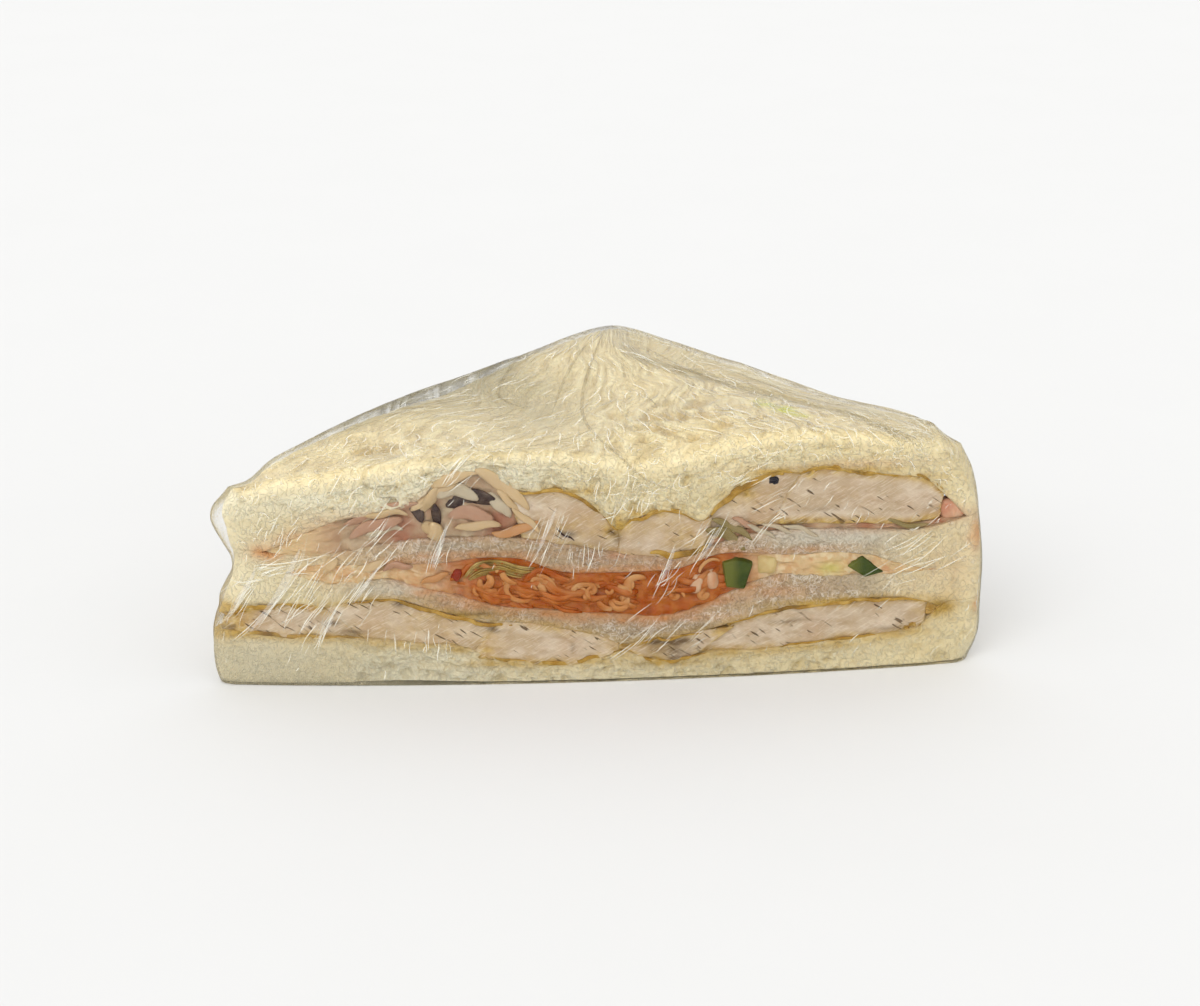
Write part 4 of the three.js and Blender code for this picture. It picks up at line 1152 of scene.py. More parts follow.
def curl_paths(rng, count, x_range, low, high, steps=13):
    """Curled shreds at the cut: part of a circle in the plane of the cut, drifting along X."""
    t = np.linspace(0, 1, steps)[None, :]
    x0, start = rng.uniform(*x_range, (count, 1)), rng.uniform(0, 6.28, (count, 1))
    round_by, turn = rng.uniform(0.7, 2.2, (count, 1)), rng.uniform(1.6, 4.4, (count, 1))
    x = x0 + round_by * np.cos(start + turn * t) + rng.uniform(-2, 2, (count, 1)) * t
    y = food_front(x) + rng.uniform(-0.3, 0.5, (count, 1)) + 0.3 * np.sin(start + 3 * t)
    floor, roof = low(x, y) + 0.5, high(x, y) - 0.5
    share = rng.uniform(0.15, 0.85, (count, 1))
    z = mix(floor, roof, share) + 0.8 * round_by * np.sin(start + turn * t)
    return np.stack([x, y, np.clip(z, floor, roof)], axis=-1)


def arch_paths(arch, inner, count):
    """Paths side by side, from an arch of (x, z) points to a lower arch inside it, at the cut."""
    share = np.linspace(0, 1, count)[:, None, None]
    flat = mix(smooth_path(arch, 13), smooth_path(inner, 13), share)
    x, z = flat[..., 0], flat[..., 1]
    y = food_front(x) + 0.2 + 0.35 * np.sin(9 * share[..., 0] + x / 3)
    return np.stack([x, y, z], axis=-1)


def paint_wet(name, colours, rough=0.28, grain=1.2, depth=0.2, weight=0.15, faded=None):
    """Two or three colours in soft patches, wet, over a fine uneven relief. The fade mark turns
    them to the faded colour."""
    paint = Paint(name)
    soft = paint.span(paint.noise(grain * 2.4, 3.0), 0.36, 0.66)
    base = paint.blend(soft, colours[0], colours[1])
    if len(colours) > 2:
        base = paint.blend(paint.span(paint.noise(grain * 5, 2.0), 0.5, 0.72), base, colours[2])
    if faded is not None:
        base = paint.blend(paint.mark("fade"), base, faded)
    relief = paint.bump(paint.noise(grain, 4.0, 0.6), depth, 0.6)
    return paint.surface(base, rough, relief, Subsurface_Weight=weight, sheen=0.2,
                         Subsurface_Radius=(0.003, 0.0015, 0.0008), Subsurface_Scale=1.0)


def paint_slaw(colours):
    """Deep orange sauce in the middle, pale peach sauce towards both ends, by the spread mark."""
    paint = Paint("slaw_sauce")
    deep = paint.blend(paint.span(paint.noise(2.4, 3.0), 0.35, 0.68), tuple(colours.sauce),
                       shade(192, 116, 44))
    deep = paint.blend(paint.span(paint.noise(4.0, 2.0), 0.55, 0.75), deep, shade(126, 58, 10))
    pale = paint.blend(paint.span(paint.noise(2.6, 3.0), 0.35, 0.7), shade(212, 172, 124),
                       shade(220, 194, 150))
    pale = paint.blend(paint.span(paint.noise(1.9, 2.0), 0.5, 0.62, 0.0, 0.7), pale,
                       shade(234, 214, 176))
    pale = paint.blend(paint.span(paint.noise(3.1, 2.0), 0.56, 0.68, 0.0, 0.6), pale,
                       shade(206, 142, 92))
    base = paint.blend(paint.mark("spread"), pale, deep)
    base = paint.glaze(base, (202, 196, 96), paint.mark("lime"), 0.7)
    relief = paint.bump(paint.noise(1.1, 4.0, 0.6), 0.25, 0.7)
    return paint.surface(base, 0.25, relief, Subsurface_Weight=0.15,
                         Subsurface_Radius=(0.003, 0.0015, 0.0008), Subsurface_Scale=1.0)


# Folded leaves and onion of the salad, and loose strips elsewhere at the cut: both ends as
# (x, z), how far the middle rises, width, depth behind the cut, tint (0 cream, 1 pink, 2 purple,
# 3 orange, 4 olive, 5 glassy grey).
LEAVES = (
    (-48.0, 32.4, -33.5, 37.0, 0.4, 2.6, 0.9, 1), (-35.5, 35.4, -27.0, 41.0, 0.6, 2.2, 0.1, 0),
    (-31.5, 40.0, -22.0, 43.2, 0.9, 2.6, 0.2, 0), (-23.5, 43.4, -13.6, 35.4, 1.0, 2.6, 0.1, 0),
    (-33.6, 34.6, -29.8, 40.0, 0.5, 2.4, 0.3, 0), (-30.5, 38.4, -23.0, 37.4, 1.6, 2.8, 0.0, 5),
    (-29.0, 36.2, -19.5, 37.2, 0.9, 3.6, 0.9, 2), (-35.4, 37.0, -33.4, 33.4, 0.2, 2.2, 0.5, 2),
    (-31.0, 36.8, -30.6, 32.0, 0.3, 1.9, 0.4, 2), (-33.2, 33.0, -30.0, 29.6, 0.3, 3.6, 0.0, 0),
    (-28.6, 34.4, -20.2, 33.6, 0.7, 3.0, 0.6, 1), (-27.4, 31.6, -18.8, 32.4, 0.6, 1.8, 0.1, 0),
    (-20.6, 30.8, -11.8, 33.2, -0.7, 1.9, -0.1, 3), (-21.2, 38.4, -17.0, 34.0, 0.4, 2.4, 0.3, 5),
    (-19.6, 39.4, -15.4, 34.8, 0.3, 1.4, 0.0, 0), (-47.0, 30.0, -37.0, 33.6, 0.8, 2.6, 0.2, 1),
    (-44.0, 30.4, -37.0, 31.8, 0.5, 1.6, 0.4, 5), (-44.0, 34.2, -36.0, 34.8, 0.5, 1.6, 0.1, 0),
    (-16.8, 35.6, -11.6, 31.0, 0.2, 1.4, 0.0, 0), (19.4, 30.6, 27.0, 26.0, 0.9, 2.2, 0.3, 4),
    (20.6, 32.2, 28.2, 28.0, 0.7, 1.6, 0.5, 4),
    (24.4, 32.4, 29.6, 29.6, 0.4, 1.2, 0.5, 1), (26.8, 31.0, 32.8, 28.0, 0.3, 1.0, 0.3, 5),
    (30.0, 31.2, 36.6, 28.6, 0.3, 0.9, 0.3, 5), (34.0, 30.6, 41.0, 28.2, 0.3, 1.0, 0.4, 5),
    (54.0, 30.6, 62.5, 29.2, -0.4, 1.0, 0.1, 4), (-8.6, 31.2, -5.2, 29.0, 0.1, 0.4, 0.1, 2),
    (-53.6, 21.6, -49.4, 26.0, 0.6, 2.6, 0.2, 0), (-46.8, 22.4, -40.4, 25.2, 0.5, 1.8, 0.2, 0),
    (-41.0, 23.6, -35.4, 24.2, 0.6, 1.7, 0.1, 1), (-34.0, 20.4, -28.6, 22.6, 0.5, 1.6, 0.1, 3),
)
LEAF_TINTS = (
    (208, 180, 138), (184, 142, 116), (44, 24, 28), (198, 142, 88), (142, 126, 78), (198, 184, 158),
)


def leaf_pieces():
    """Cupped ribbons, each on an arc from one end to the other: a straight run plus 1 - t^2."""
    table = np.array(LEAVES)
    x0, z0, x1, z1, rise, width, behind, tint = (table[:, k, None] for k in range(8))
    t = np.linspace(-1, 1, 15)[None, :]
    x, z = mix(x0, x1, (t + 1) / 2), mix(z0, z1, (t + 1) / 2)
    z = z + rise * (1 - t**2) + 0.22 * np.sin(4.3 * t + 3 * x0)
    y = food_front(x) - 0.1 + 0.6 * behind + 0.3 * np.sin(2.7 * t + x0)
    paths = np.stack([x, y, z], axis=-1)
    flat = np.stack([0.25 * np.sin(x0), 1 + 0 * x0, 0.5 * np.cos(1.7 * x0)], axis=-1)
    return ribbons("salad_leaves", paths, width[:, 0], 0.6, flat, {"tint": tint[:, 0] / 5},
                   sides=14, cup=0.16, power=0.5)


def paint_leaves():
    """Each leaf in its own tint, paler and darker in soft bands, wet."""
    paint = Paint("salad_leaf")
    ramp = paint.add("ShaderNodeValToRGB", None, Fac=paint.mark("tint"))
    ramp.color_ramp.interpolation = "CONSTANT"
    for count, colour in enumerate(LEAF_TINTS):
        place = max(0.0, (count - 0.5) / 5)
        stop = ramp.color_ramp.elements.new(place) if count > 1 else ramp.color_ramp.elements[count]
        stop.position = place
        stop.color = (*shade(*colour), 1)
    band = paint.noise(2.2, 3.0, 0.55)
    base = paint.blend(paint.span(band, 0.35, 0.7, 0.0, 0.14), ramp.outputs["Color"],
                       shade(228, 206, 178))
    relief = paint.bump(paint.noise(0.9, 3.0, 0.6), 0.15, 0.5)
    return paint.surface(base, 0.28, relief, Subsurface_Weight=0.12,
                         Subsurface_Radius=(0.003, 0.0018, 0.001), Subsurface_Scale=1.0)


# ---------------------------------------------------------------- small pieces


def lump_piece(name, x, z, behind, size, seed, rough=0.12, square=0.35, tilt=0.0):
    """A ball pushed towards a box and roughened: radius 1 at every angle, scaled by size."""
    turns = np.linspace(0, 2 * np.pi, 36, endpoint=False)[None, :]
    rise = np.linspace(0, np.pi, 22)[1:-1, None]
    ball = np.stack([np.cos(rise) + 0 * turns, np.sin(rise) * np.cos(turns),
                     np.sin(rise) * np.sin(turns)], axis=-1)
    widest = np.abs(ball).max(axis=-1, keepdims=True)
    shape = ball * mix(1, 1 / widest, square)
    shape = shape * (1 + rough * soft_noise(ball * 2 + seed, 0.9, seed)[..., None])
    shape = shape * np.array(size) / 2
    spin = np.array([[np.cos(tilt), 0, np.sin(tilt)], [0, 1, 0], [-np.sin(tilt), 0, np.cos(tilt)]])
    centre = np.array([x, food_front(x) + behind + size[1] / 2, z])
    poles = np.array([[size[0] / 2, 0, 0], [-size[0] / 2, 0, 0]])
    points = np.concatenate([shape.reshape(-1, 3), poles]) @ spin.T + centre
    n, m = ball.shape[:2]
    return make_piece(name, points, ring_quads(n, m)[:, QUAD_TURNED], pole_fans(n, m))


def prism_piece(name, corners, behind, length, bulge=0.15):
    """A block whose face is a polygon of (x, z) corners, run back from the cut and beveled."""
    corners = np.array(corners, float)
    centre = corners.mean(axis=0)
    rings = []
    for back, inset in ((0.0, 0.5), (0.25, 0.0), (0.5, -bulge), (0.75, 0.0), (1.0, 0.5)):
        ring = centre + (corners - centre) * (1 - inset * 0.16)
        y = food_front(ring[:, 0]) + behind + back * length
        rings.append(np.stack([ring[:, 0], y, ring[:, 1]], axis=1))
    m, n = len(corners), len(rings)
    points = np.concatenate(rings + [[rings[0].mean(axis=0)], [rings[-1].mean(axis=0)]])
    piece = make_piece(name, points, ring_quads(n, m), pole_fans(n, m)[:, FAN_TURNED])
    bevel = piece.modifiers.new("soft_edges", "BEVEL")
    bevel.width, bevel.segments, bevel.limit_method = 0.35 * MM, 3, "ANGLE"
    return piece


def paint_pepper(green):
    """Green pepper: pale flesh at the left of each piece, dark skin at its right, wet."""
    paint = Paint("pepper_flesh")
    x = paint.axis("X")
    wedge = paint.maths("MULTIPLY", paint.span(x, 40.0, 41.0), paint.span(x, 50.0, 47.5))
    pale = paint.maths("MAXIMUM", paint.span(x, 24.6, 26.2, 1.0, 0.0), wedge)
    uneven = paint.noise(1.6, 3.0)
    base = paint.blend(paint.span(uneven, 0.35, 0.7), green, shade(72, 86, 16))
    base = paint.glaze(base, (114, 118, 44), pale, 0.75)
    relief = paint.bump(uneven, 0.2, 0.6)
    return paint.surface(base, 0.4, relief, Subsurface_Weight=0.1,
                         Subsurface_Radius=(0.002, 0.002, 0.001), Subsurface_Scale=1.0)


# ---------------------------------------------------------------- film

# The long creases of the film, drawn as ribbons of painted highlight. First number: distance along
# X. Second: distance up the cut and on over the top, so that the cut's upper edge is near 46 and
# the back corner near 120.
CREASES = [
    ((-70.2, 9.3), (-67, 12.2), (-63.9, 15.6)),
    ((-65.5, 11.8), (-61.5, 17.5), (-58.4, 22.1), (-56, 26.3), (-54.6, 31.4)),
    ((-64.2, 14.0), (-60.3, 18.4), (-56.4, 23.7), (-53.5, 26.2), (-49.8, 28.3)),
    ((-53.4, 8.8), (-51.4, 13.5), (-49.0, 18.0)),
    ((-57.6, 10.6), (-54, 15.4), (-50.1, 20.1)),
    ((-47.6, 16.6), (-44, 21.6), (-41.4, 25.0), (-38.9, 28.2)),
    ((-45.4, 17.3), (-42.6, 21.0)),
    ((-32.4, 23.8), (-31.4, 27.4), (-28.8, 33.2)),
    ((-31.6, 24.2), (-29.6, 29.3)),
    ((-29.2, 40.6), (-27.4, 43.6), (-24.4, 47.2)),
    ((-13.8, 25.4), (-12.0, 30.5), (-10.4, 35.4)),
    ((-11.4, 24.4), (-9.0, 31.0), (-6.2, 37.2)),
    ((-9.0, 31.5), (-7.6, 35.6)),
    ((10.6, 19.6), (11.6, 22.8), (12.9, 26.4), (13.7, 28.4)),
    ((10.0, 19.9), (12.5, 21.4)),
    ((17.6, 24.2), (19.6, 28.2), (21.4, 31.6)),
    ((19.3, 24.8), (21.6, 28.4), (23.4, 31.4)),
    ((-68.5, 25.2), (-60, 25.4), (-51, 27.2)),
    ((-66.0, 24.0), (-58.5, 25.0)),
    ((-71.5, 14), (-68.6, 19), (-67.2, 24)),
    ((1.4, 4.2), (6.6, 8.2), (11.2, 14.0)),
    ((16.4, 8.2), (19.5, 11.4), (22.6, 14.6)),
    ((-62, 31), (-59.6, 35.4)),
    ((61.8, 33.8), (62.9, 34.8)),
    ((65.9, 33.0), (66.8, 33.8)),
    ((58.6, 28.6), (60.4, 29.6)),
    ((63.4, 29.9), (64.6, 30.8)),
    ((28, 26.8), (31.4, 31.4), (35, 34.4)),
]

# Soft wide folds, drawn as pale ribbons of painted sheen, in the same two distances, with the width
# of each.
FOLDS = [
    (1.5, ((-66.5, 11.5), (-60.5, 19.5), (-56.2, 28.4))),
    (1.1, ((-71.4, 15.2), (-69.0, 19.6), (-67.6, 25.0))),
    (0.9, ((-46.8, 17.4), (-41.6, 25.0))),
    (0.8, ((-52.8, 10.2), (-50.2, 15.8))),
    (1.0, ((-31.8, 24.4), (-28.8, 33.0))),
    (0.8, ((-12.4, 26.6), (-8.6, 36.2))),
    (0.9, ((11.2, 20.6), (13.6, 27.6))),
    (0.8, ((18.4, 24.8), (22.2, 31.6))),
]

# Long thin folds over the top, drawn as dark ribbons of painted shade.
SEAMS = [
    ((7.2, 119), (3.7, 105), (0.8, 92), (-1.7, 77), (-1.9, 62), (1.5, 50), (7, 42), (16, 38)),
    ((4.2, 112), (-1.5, 98), (-5.5, 84), (-8, 70)),
    ((12, 104), (20, 92), (31, 76), (41, 66)),
    ((24, 98), (34, 84), (47, 68), (58, 56)),
    ((-9, 112), (-15, 96), (-18, 82), (-13, 74)),
    ((-50, 62), (-36, 72), (-22, 80)),
    ((0.5, 60), (-6, 54), (-14, 50), (-24, 48.5)),
]


# Bundles of fine creases on the cut, drawn as ribbons of painted highlight: middle x, height, lean,
# half length and half spread.
BUNDLES = (
    (-69.0, 19.0, 1.15, 5.0, 1.2), (-62.0, 24.0, 0.2, 5.0, 1.6), (-60.0, 31.0, 1.1, 2.5, 3.5),
    (-57.0, 19.0, 0.95, 6.0, 1.8), (-52.6, 13.0, 1.05, 5.0, 2.2), (-47.8, 22.0, 1.0, 5.0, 2.0),
    (-46.0, 37.0, 0.9, 3.0, 4.0), (-42.0, 29.0, 0.9, 5.0, 2.2), (-30.0, 29.0, 1.2, 4.0, 1.2),
    (-27.5, 43.0, 0.9, 3.5, 2.4), (-10.0, 30.5, 1.05, 4.5, 2.2), (-3.0, 26.5, 1.45, 3.0, 4.0),
    (12.6, 22.0, 1.0, 3.5, 2.0), (20.0, 29.0, 1.0, 4.0, 2.4), (11.0, 11.0, 0.75, 4.0, 3.4),
    (-33.0, 9.0, 1.5, 2.5, 4.5), (42.0, 36.0, 0.95, 2.6, 4.5), (61.0, 23.5, 0.5, 6.0, 2.4),
    (30.0, 40.0, 0.5, 4.0, 3.0), (4.0, 39.0, 1.3, 3.0, 5.0),
)


def film_loft(step):
    """The film's surface: an ear at the upper left, a waist under it, a rounded right end."""
    body = Loft(-LENGTH / 2 + 0.2, LENGTH / 2 - 0.2, lambda x: cut_line(x) + 0.1,
                lambda x: back_line(x) - 0.15, lambda x, y: 0.03 + 0 * x * y,
                lambda x, y: film_top(x, y) - 0.25, nose=3.0, lip=0, edges=(0.5, 2.8),
                step=step, rows=(34, 72, 118), corner=4)
    draw_in(body.points, FILM_LEFT, FILM_RIGHT)
    return body


class FilmChart:
    """The film read by two distances: along X, and up the cut and on over the top to the back."""

    def __init__(self, body):
        both = np.concatenate([body.points, body.normals()], axis=-1)[:, ::-1]
        run = np.linalg.norm(np.diff(both[..., :3], axis=1), axis=-1)
        length = np.concatenate([np.zeros((len(run), 1)), np.cumsum(run, axis=1)], axis=1)
        self.x, self.step = body.x[:, 0], 0.5
        self.up = np.arange(0, length.max(), self.step)
        self.table = np.stack([
            np.stack([np.interp(self.up, far, values) for values in column.T], axis=-1)
            for far, column in zip(length, both)])

    def at(self, x, up):
        """Points and normals, each between the four nearest places of the chart."""
        i = np.clip(np.interp(x, self.x, np.arange(len(self.x))), 0, len(self.x) - 1.001)
        j = np.clip(up / self.step, 0, len(self.up) - 1.001)
        i0, j0 = i.astype(int), j.astype(int)
        s, t = (i - i0)[..., None], (j - j0)[..., None]
        near = mix(self.table[i0, j0], self.table[i0, j0 + 1], t)
        far = mix(self.table[i0 + 1, j0], self.table[i0 + 1, j0 + 1], t)
        both = mix(near, far, s)
        return both[..., :3], both[..., 3:]

    def ribbons(self, name, paths, width, thick):
        """Flat ribbons that lie on the film along paths in the chart's two distances."""
        points, outward = self.at(paths[..., 0], paths[..., 1])
        return ribbons(name, points + 0.04 * outward, width, thick, outward, sides=6, power=0.7)


def stroke_paths(x, up, lean, half, bend, steps):
    """Short arcs: a run of t along the lean, and bend times t squared across it."""
    x, up, lean, half, bend = (value[:, None] for value in (x, up, lean, half, bend))
    t = np.linspace(-1, 1, steps)[None, :]
    px = x + half * t * np.cos(lean) - bend * half * t**2 * np.sin(lean)
    pz = up + half * t * np.sin(lean) + bend * half * t**2 * np.cos(lean)
    return np.stack([px, pz], axis=-1)


def top_paths(rng, count):
    """Fine creases over the top, which fan out from the back corner and turn along the right
    side, and on the back sides, where they lean."""
    x = rng.uniform(-72, 72, count)
    up = rng.uniform(48, 160, count)
    y = up - 47 + cut_line(x)
    over = y < back_line(x)
    fan = np.arctan2(BACK - y, BACK_CORNER_X - x) + 0.35 * np.sin(x / 9) + 0.3 * np.sin(y / 7)
    band = over & (x > 8) & (inside_back(x, y, 1) < 13)
    lean = np.where(over, fan + rng.normal(0, 0.16, count), 1.0 + rng.normal(0, 0.3, count))
    lean = np.where(band, -0.8 + rng.choice([-0.4, 0.0, 0.3], count), lean)
    return stroke_paths(x, up, lean, rng.uniform(0.8, 4.4, count), rng.normal(0, 0.25, count), 9)


def cut_paths(rng, count):
    """Fine creases on the cut, side by side in bundles, with a few alone."""
    table = np.array(BUNDLES)
    which = rng.integers(0, len(table), count)
    x, up, lean, half, spread = (table[which, k] for k in range(5))
    across = rng.normal(0, 1, count) * spread
    along = rng.normal(0, 0.6, count) * half
    alone = rng.random(count) < 0.2
    x = x + along * np.cos(lean) - across * np.sin(lean)
    x = np.where(alone, rng.uniform(-72, 72, count), x)
    up = up + along * np.sin(lean) + across * np.cos(lean)
    up = np.where(alone, rng.uniform(2, 45, count), up)
    lean = lean + rng.normal(0, 0.12, count)
    half = half * rng.uniform(0.25, 0.9, count) * np.where(alone, 0.5, 1.0)
    return stroke_paths(x, np.clip(up, 1, 48), lean, half, rng.normal(0, 0.12, count), 9)


def curl_strokes(rng, count):
    """Small curled creases over the top slice's cut face and the front of its top."""
    x = rng.uniform(-71, 71, count)
    bread = height_of(len(LAYERS) - 1, x, cut_line(x)) + 2
    up = mix(bread, 58, rng.random(count))
    lean = rng.uniform(0, np.pi, count)
    return stroke_paths(x, up, lean, rng.uniform(0.4, 1.5, count), rng.normal(0, 0.6, count), 9)


def long_paths(rng):
    """The long creases, each with shorter twins beside it."""
    longer = [smooth_path(path, 15) for path in CREASES]
    twins = [smooth_path(path, 15)[first:first + 8] + rng.normal(0, 0.5, 2)
             for first in (0, 6) for path in CREASES]
    return np.stack(longer + [smooth_path(path[::2], 15) for path in twins])


def film_wrap(sizes):
    """The film, drawn tight with a little slack, with marks for a milky veil, for painted shade
    where it stands off the bread, and for painted light at its foot.
    """
    body = film_loft(sizes.film_step / MM)
    spots = body.points.copy()
    x, y, z = (spots[..., k] for k in range(3))
    on_top = ease(30, 44, z) * (y > cut_line(x) + 0.5)
    body.push(ease(0.2, 1.5, z) * (slack(spots) - 0.1))
    # Where the film stands off the bread, the veil is grey with painted shade (the dusk mark).
    lens = bell(x, -26, 17) * bell(y, 6, 14) + 0.7 * bell(x, -10, 8) * bell(y, -6, 16)
    lens = lens * on_top
    shoulder = ease(9, 2, inside_back(x, y, -1)) * bell(x, -32, 24) * ease(36, 42, z)
    band = ease(14, 8, inside_back(x, y, 1)) * ease(5, 14, x) * on_top
    # At the foot the veil lays a pale colour over the shade under the bottom edge: painted light.
    foot = bell(x, -62, 20) * (0.8 * ease(13, 4, z) + ease(1.8, 0.6, z)) * (1 - on_top)
    veil = 0.7 * lens + 0.8 * band + shoulder + 0.5 * ease(-68, -73, x) * ease(36, 27, z) + foot
    dusk = lens + 1.2 * shoulder + 0.4 * foot
    return body, {"veil": np.clip(veil, 0, 1), "dusk": np.clip(dusk, 0, 1),
                  "crown": on_top + 0 * x, **flow(spots)}


def paint_film():
    """Clear film: it passes light, mirrors it at a slant, and has a milky veil where it stands off,
    greyed there with painted shade.
    """
    paint = Paint("clear_film")
    leaning = paint.noise(0.9, 4.0, 0.65, stretch=(0.22, 1.0, 1.6), turn=(0, 0.55, 0))
    across = paint.noise(1.2, 4.0, 0.6, stretch=(0.9, 0.25, 1.0), turn=(0, 0, 0.8))
    small = paint.maths("MULTIPLY", leaning, across)
    creases = paint.streaks(1.15, 9.0)
    relief = paint.bump(paint.span(small, 0.12, 0.42), 0.1, 0.5)
    relief = paint.bump(paint.maths("MULTIPLY", creases, paint.mark("crown")), 0.7, 1.0, relief)
    slant = paint.add("ShaderNodeLayerWeight", Blend=0.35)
    see_through = paint.blend(paint.maths("POWER", slant.outputs["Facing"], 5.0),
                              (0.995, 0.995, 0.99), (0.93, 0.935, 0.92))
    clear = paint.add("ShaderNodeBsdfTransparent", Color=see_through).outputs[0]
    gloss = paint.add("ShaderNodeBsdfGlossy", Color=(1.0, 1.0, 1.0), Roughness=0.12)
    paint.links.new(relief, gloss.inputs["Normal"])
    fresnel = paint.add("ShaderNodeFresnel", IOR=1.2)
    paint.links.new(relief, fresnel.inputs["Normal"])
    # The veil's colour: milky film, greyed into painted shade by the dusk mark.
    milk_and_shade = paint.blend(paint.mark("dusk"), shade(208, 198, 168), shade(150, 144, 122))
    dull = paint.add("ShaderNodeBsdfDiffuse", Color=milk_and_shade).outputs[0]
    strokes = paint.blend(paint.mark("crown"), paint.span(small, 0.15, 0.4, 0.4, 1.0),
                          paint.span(creases, 0.4, 0.6, 0.25, 1.0))
    veil = paint.maths("MULTIPLY", paint.mark("veil"), paint.maths("MULTIPLY", strokes, 0.65))
    shader = paint.join(fresnel.outputs[0], clear, gloss.outputs[0])
    return paint.output(paint.join(veil, shader, dull))


def paint_crease(name, alpha, colour=(0.96, 0.96, 0.94)):
    """A crease of the film: glossy and partly see-through, finely uneven; a pale colour paints its
    highlight and a dark one its shade.
    """
    paint = Paint(name)
    uneven = paint.noise(0.8, 3.0)
    relief = paint.bump(uneven, 0.05, 0.5)
    return paint.surface(colour, paint.span(uneven, 0.3, 0.7, 0.15, 0.35), relief, Alpha=alpha)


# ---------------------------------------------------------------- finishing a piece


def settle(piece, material, slot, *nodes):
    """Gives a piece its material and its body, and hides the nodes that it stands for. The slot is
    not used.
    """
    piece.data.materials.clear()
    piece.data.materials.append(material)
    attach(piece, BODY)
    if nodes:
        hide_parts(*nodes)
    return piece


# ---------------------------------------------------------------- operators


class SANDWICH_OT_bread(bpy.types.Operator):
    """Add the four slices of bread"""

    bl_idname = "sandwich.add_bread"
    bl_label = "Add bread"

    def execute(self, context):
        crumb = paint_bread(context.scene.sandwich_colours)
        for name, look in SLICES.items():
            slot = "bread_pressed" if look["pressed"] else "bread"
            settle(bread_slice(name, context.scene.sandwich_sizes), crumb, slot, name)
        return {"FINISHED"}


class SANDWICH_OT_chicken(bpy.types.Operator):
    """Add the slices of chicken in the lower and the upper filling"""

    bl_idname = "sandwich.add_chicken"
    bl_label = "Add chicken"

    def execute(self, context):
        meat = paint_chicken(context.scene.sandwich_colours)
        for count, name in enumerate(CHICKEN):
            settle(chicken_slice(name, 40 + 7 * count), meat, "chicken", name)
        spice = [shade(172, 130, 48), shade(202, 164, 86), shade(124, 92, 36)]
        settle(spice_edges(), paint_wet("spice", spice, 0.4, 0.8), "chicken")
        crumbs = paint_wet("spice_crumb", [shade(196, 160, 92), shade(162, 122, 46)], 0.4, 0.6)
        for count, (x, z, size) in enumerate(SPICE_CRUMBS):
            crumb = lump_piece(f"spice_crumb_{count + 1}", x, z, 0.1, (size * 1.3, 2.2, size),
                               count, 0.3)
            settle(crumb, crumbs, "chicken")
        return {"FINISHED"}


class SANDWICH_OT_slaw(bpy.types.Operator):
    """Add the sauced slaw of the middle filling, with its shreds"""

    bl_idname = "sandwich.add_slaw"
    bl_label = "Add slaw"

    def execute(self, context):
        colours = context.scene.sandwich_colours
        low, high = layer_low("slaw", 0), layer_high("slaw", 0)
        spread = {"spread": lambda p: ease(-40, -20, p[..., 0]) * ease(34, 22, p[..., 0]),
                  "lime": lambda p: bell(p[..., 0], 43.5, 2.4) * bell(p[..., 2], 21.4, 1.2)}
        sauce = sauce_body("slaw_sauce", -59.5, 67, low, high, 0.7, 5, marks=spread,
                           flush=lambda x: ease(-38, -48, x) + ease(30, 40, x))
        settle(sauce, paint_slaw(colours), "slaw", "slaw")
        rng = np.random.default_rng(8)
        paths = strand_paths(rng, 46, (-26, 22), low, high, (5, 14), (-0.35, 0.35), (0.2, 1.2))
        shreds = ribbons("slaw_shreds", paths, rng.uniform(0.9, 2.2, 46), rng.uniform(0.5, 0.9, 46),
                         (0.2, 1.0, 0.3))
        orange = [tuple(colours.sauce), shade(198, 116, 50), shade(206, 140, 84)]
        settle(shreds, paint_wet("sauced_shreds", orange), "slaw")
        arch = [(-26.0, 22.0), (-23.6, 24.8), (-19.6, 25.2), (-15.6, 23.8), (-12.6, 23.4)]
        inner = [(-24.6, 21.2), (-22.4, 22.2), (-19.2, 22.6), (-16.6, 22.0), (-15.0, 21.8)]
        strands = ribbons("cabbage_strands", arch_paths(arch, inner, 8), 0.34, 0.4, (0.1, 1.0, 0.1))
        paths = curl_paths(rng, 30, (-26, 24), low, high)
        curls = ribbons("slaw_curls", paths, rng.uniform(0.7, 1.7, 30), 0.4, (0.2, 1.0, 0.3))
        peach = [shade(210, 148, 88), shade(188, 110, 46), shade(218, 172, 118)]
        settle(curls, paint_wet("sauced_curls", peach, 0.2), "slaw")
        golden = [shade(160, 128, 56), shade(212, 186, 118), shade(120, 96, 38)]
        settle(strands, paint_wet("cabbage", golden), "slaw")
        bit = lump_piece("red_bit", -27.2, 22.4, -0.3, (2.0, 2.2, 2.6), 12, 0.15, 0.3, 0.5)
        red = [shade(132, 28, 14), shade(150, 60, 30)]
        settle(bit, paint_wet("red_bit_skin", red, 0.2), "slaw")
        return {"FINISHED"}


class SANDWICH_OT_green_pepper(bpy.types.Operator):
    """Add the two pieces of green pepper at the cut"""

    bl_idname = "sandwich.add_green_pepper"
    bl_label = "Add green pepper"

    def execute(self, context):
        skin = paint_pepper(tuple(context.scene.sandwich_colours.pepper))
        block = [(23.4, 18.4), (27.2, 17.8), (28.8, 23.4), (25.2, 24.4), (22.6, 23.8)]
        wedge = [(46.5, 21.8), (50.3, 19.2), (54.2, 20.1), (49.6, 23.8)]
        block = prism_piece("pepper_block", block, -0.5, 7.0)
        settle(block, skin, "green_pepper", "green_pepper_1")
        wedge = prism_piece("pepper_wedge", wedge, -0.6, 6.0)
        settle(wedge, skin, "green_pepper", "green_pepper_2")
        return {"FINISHED"}


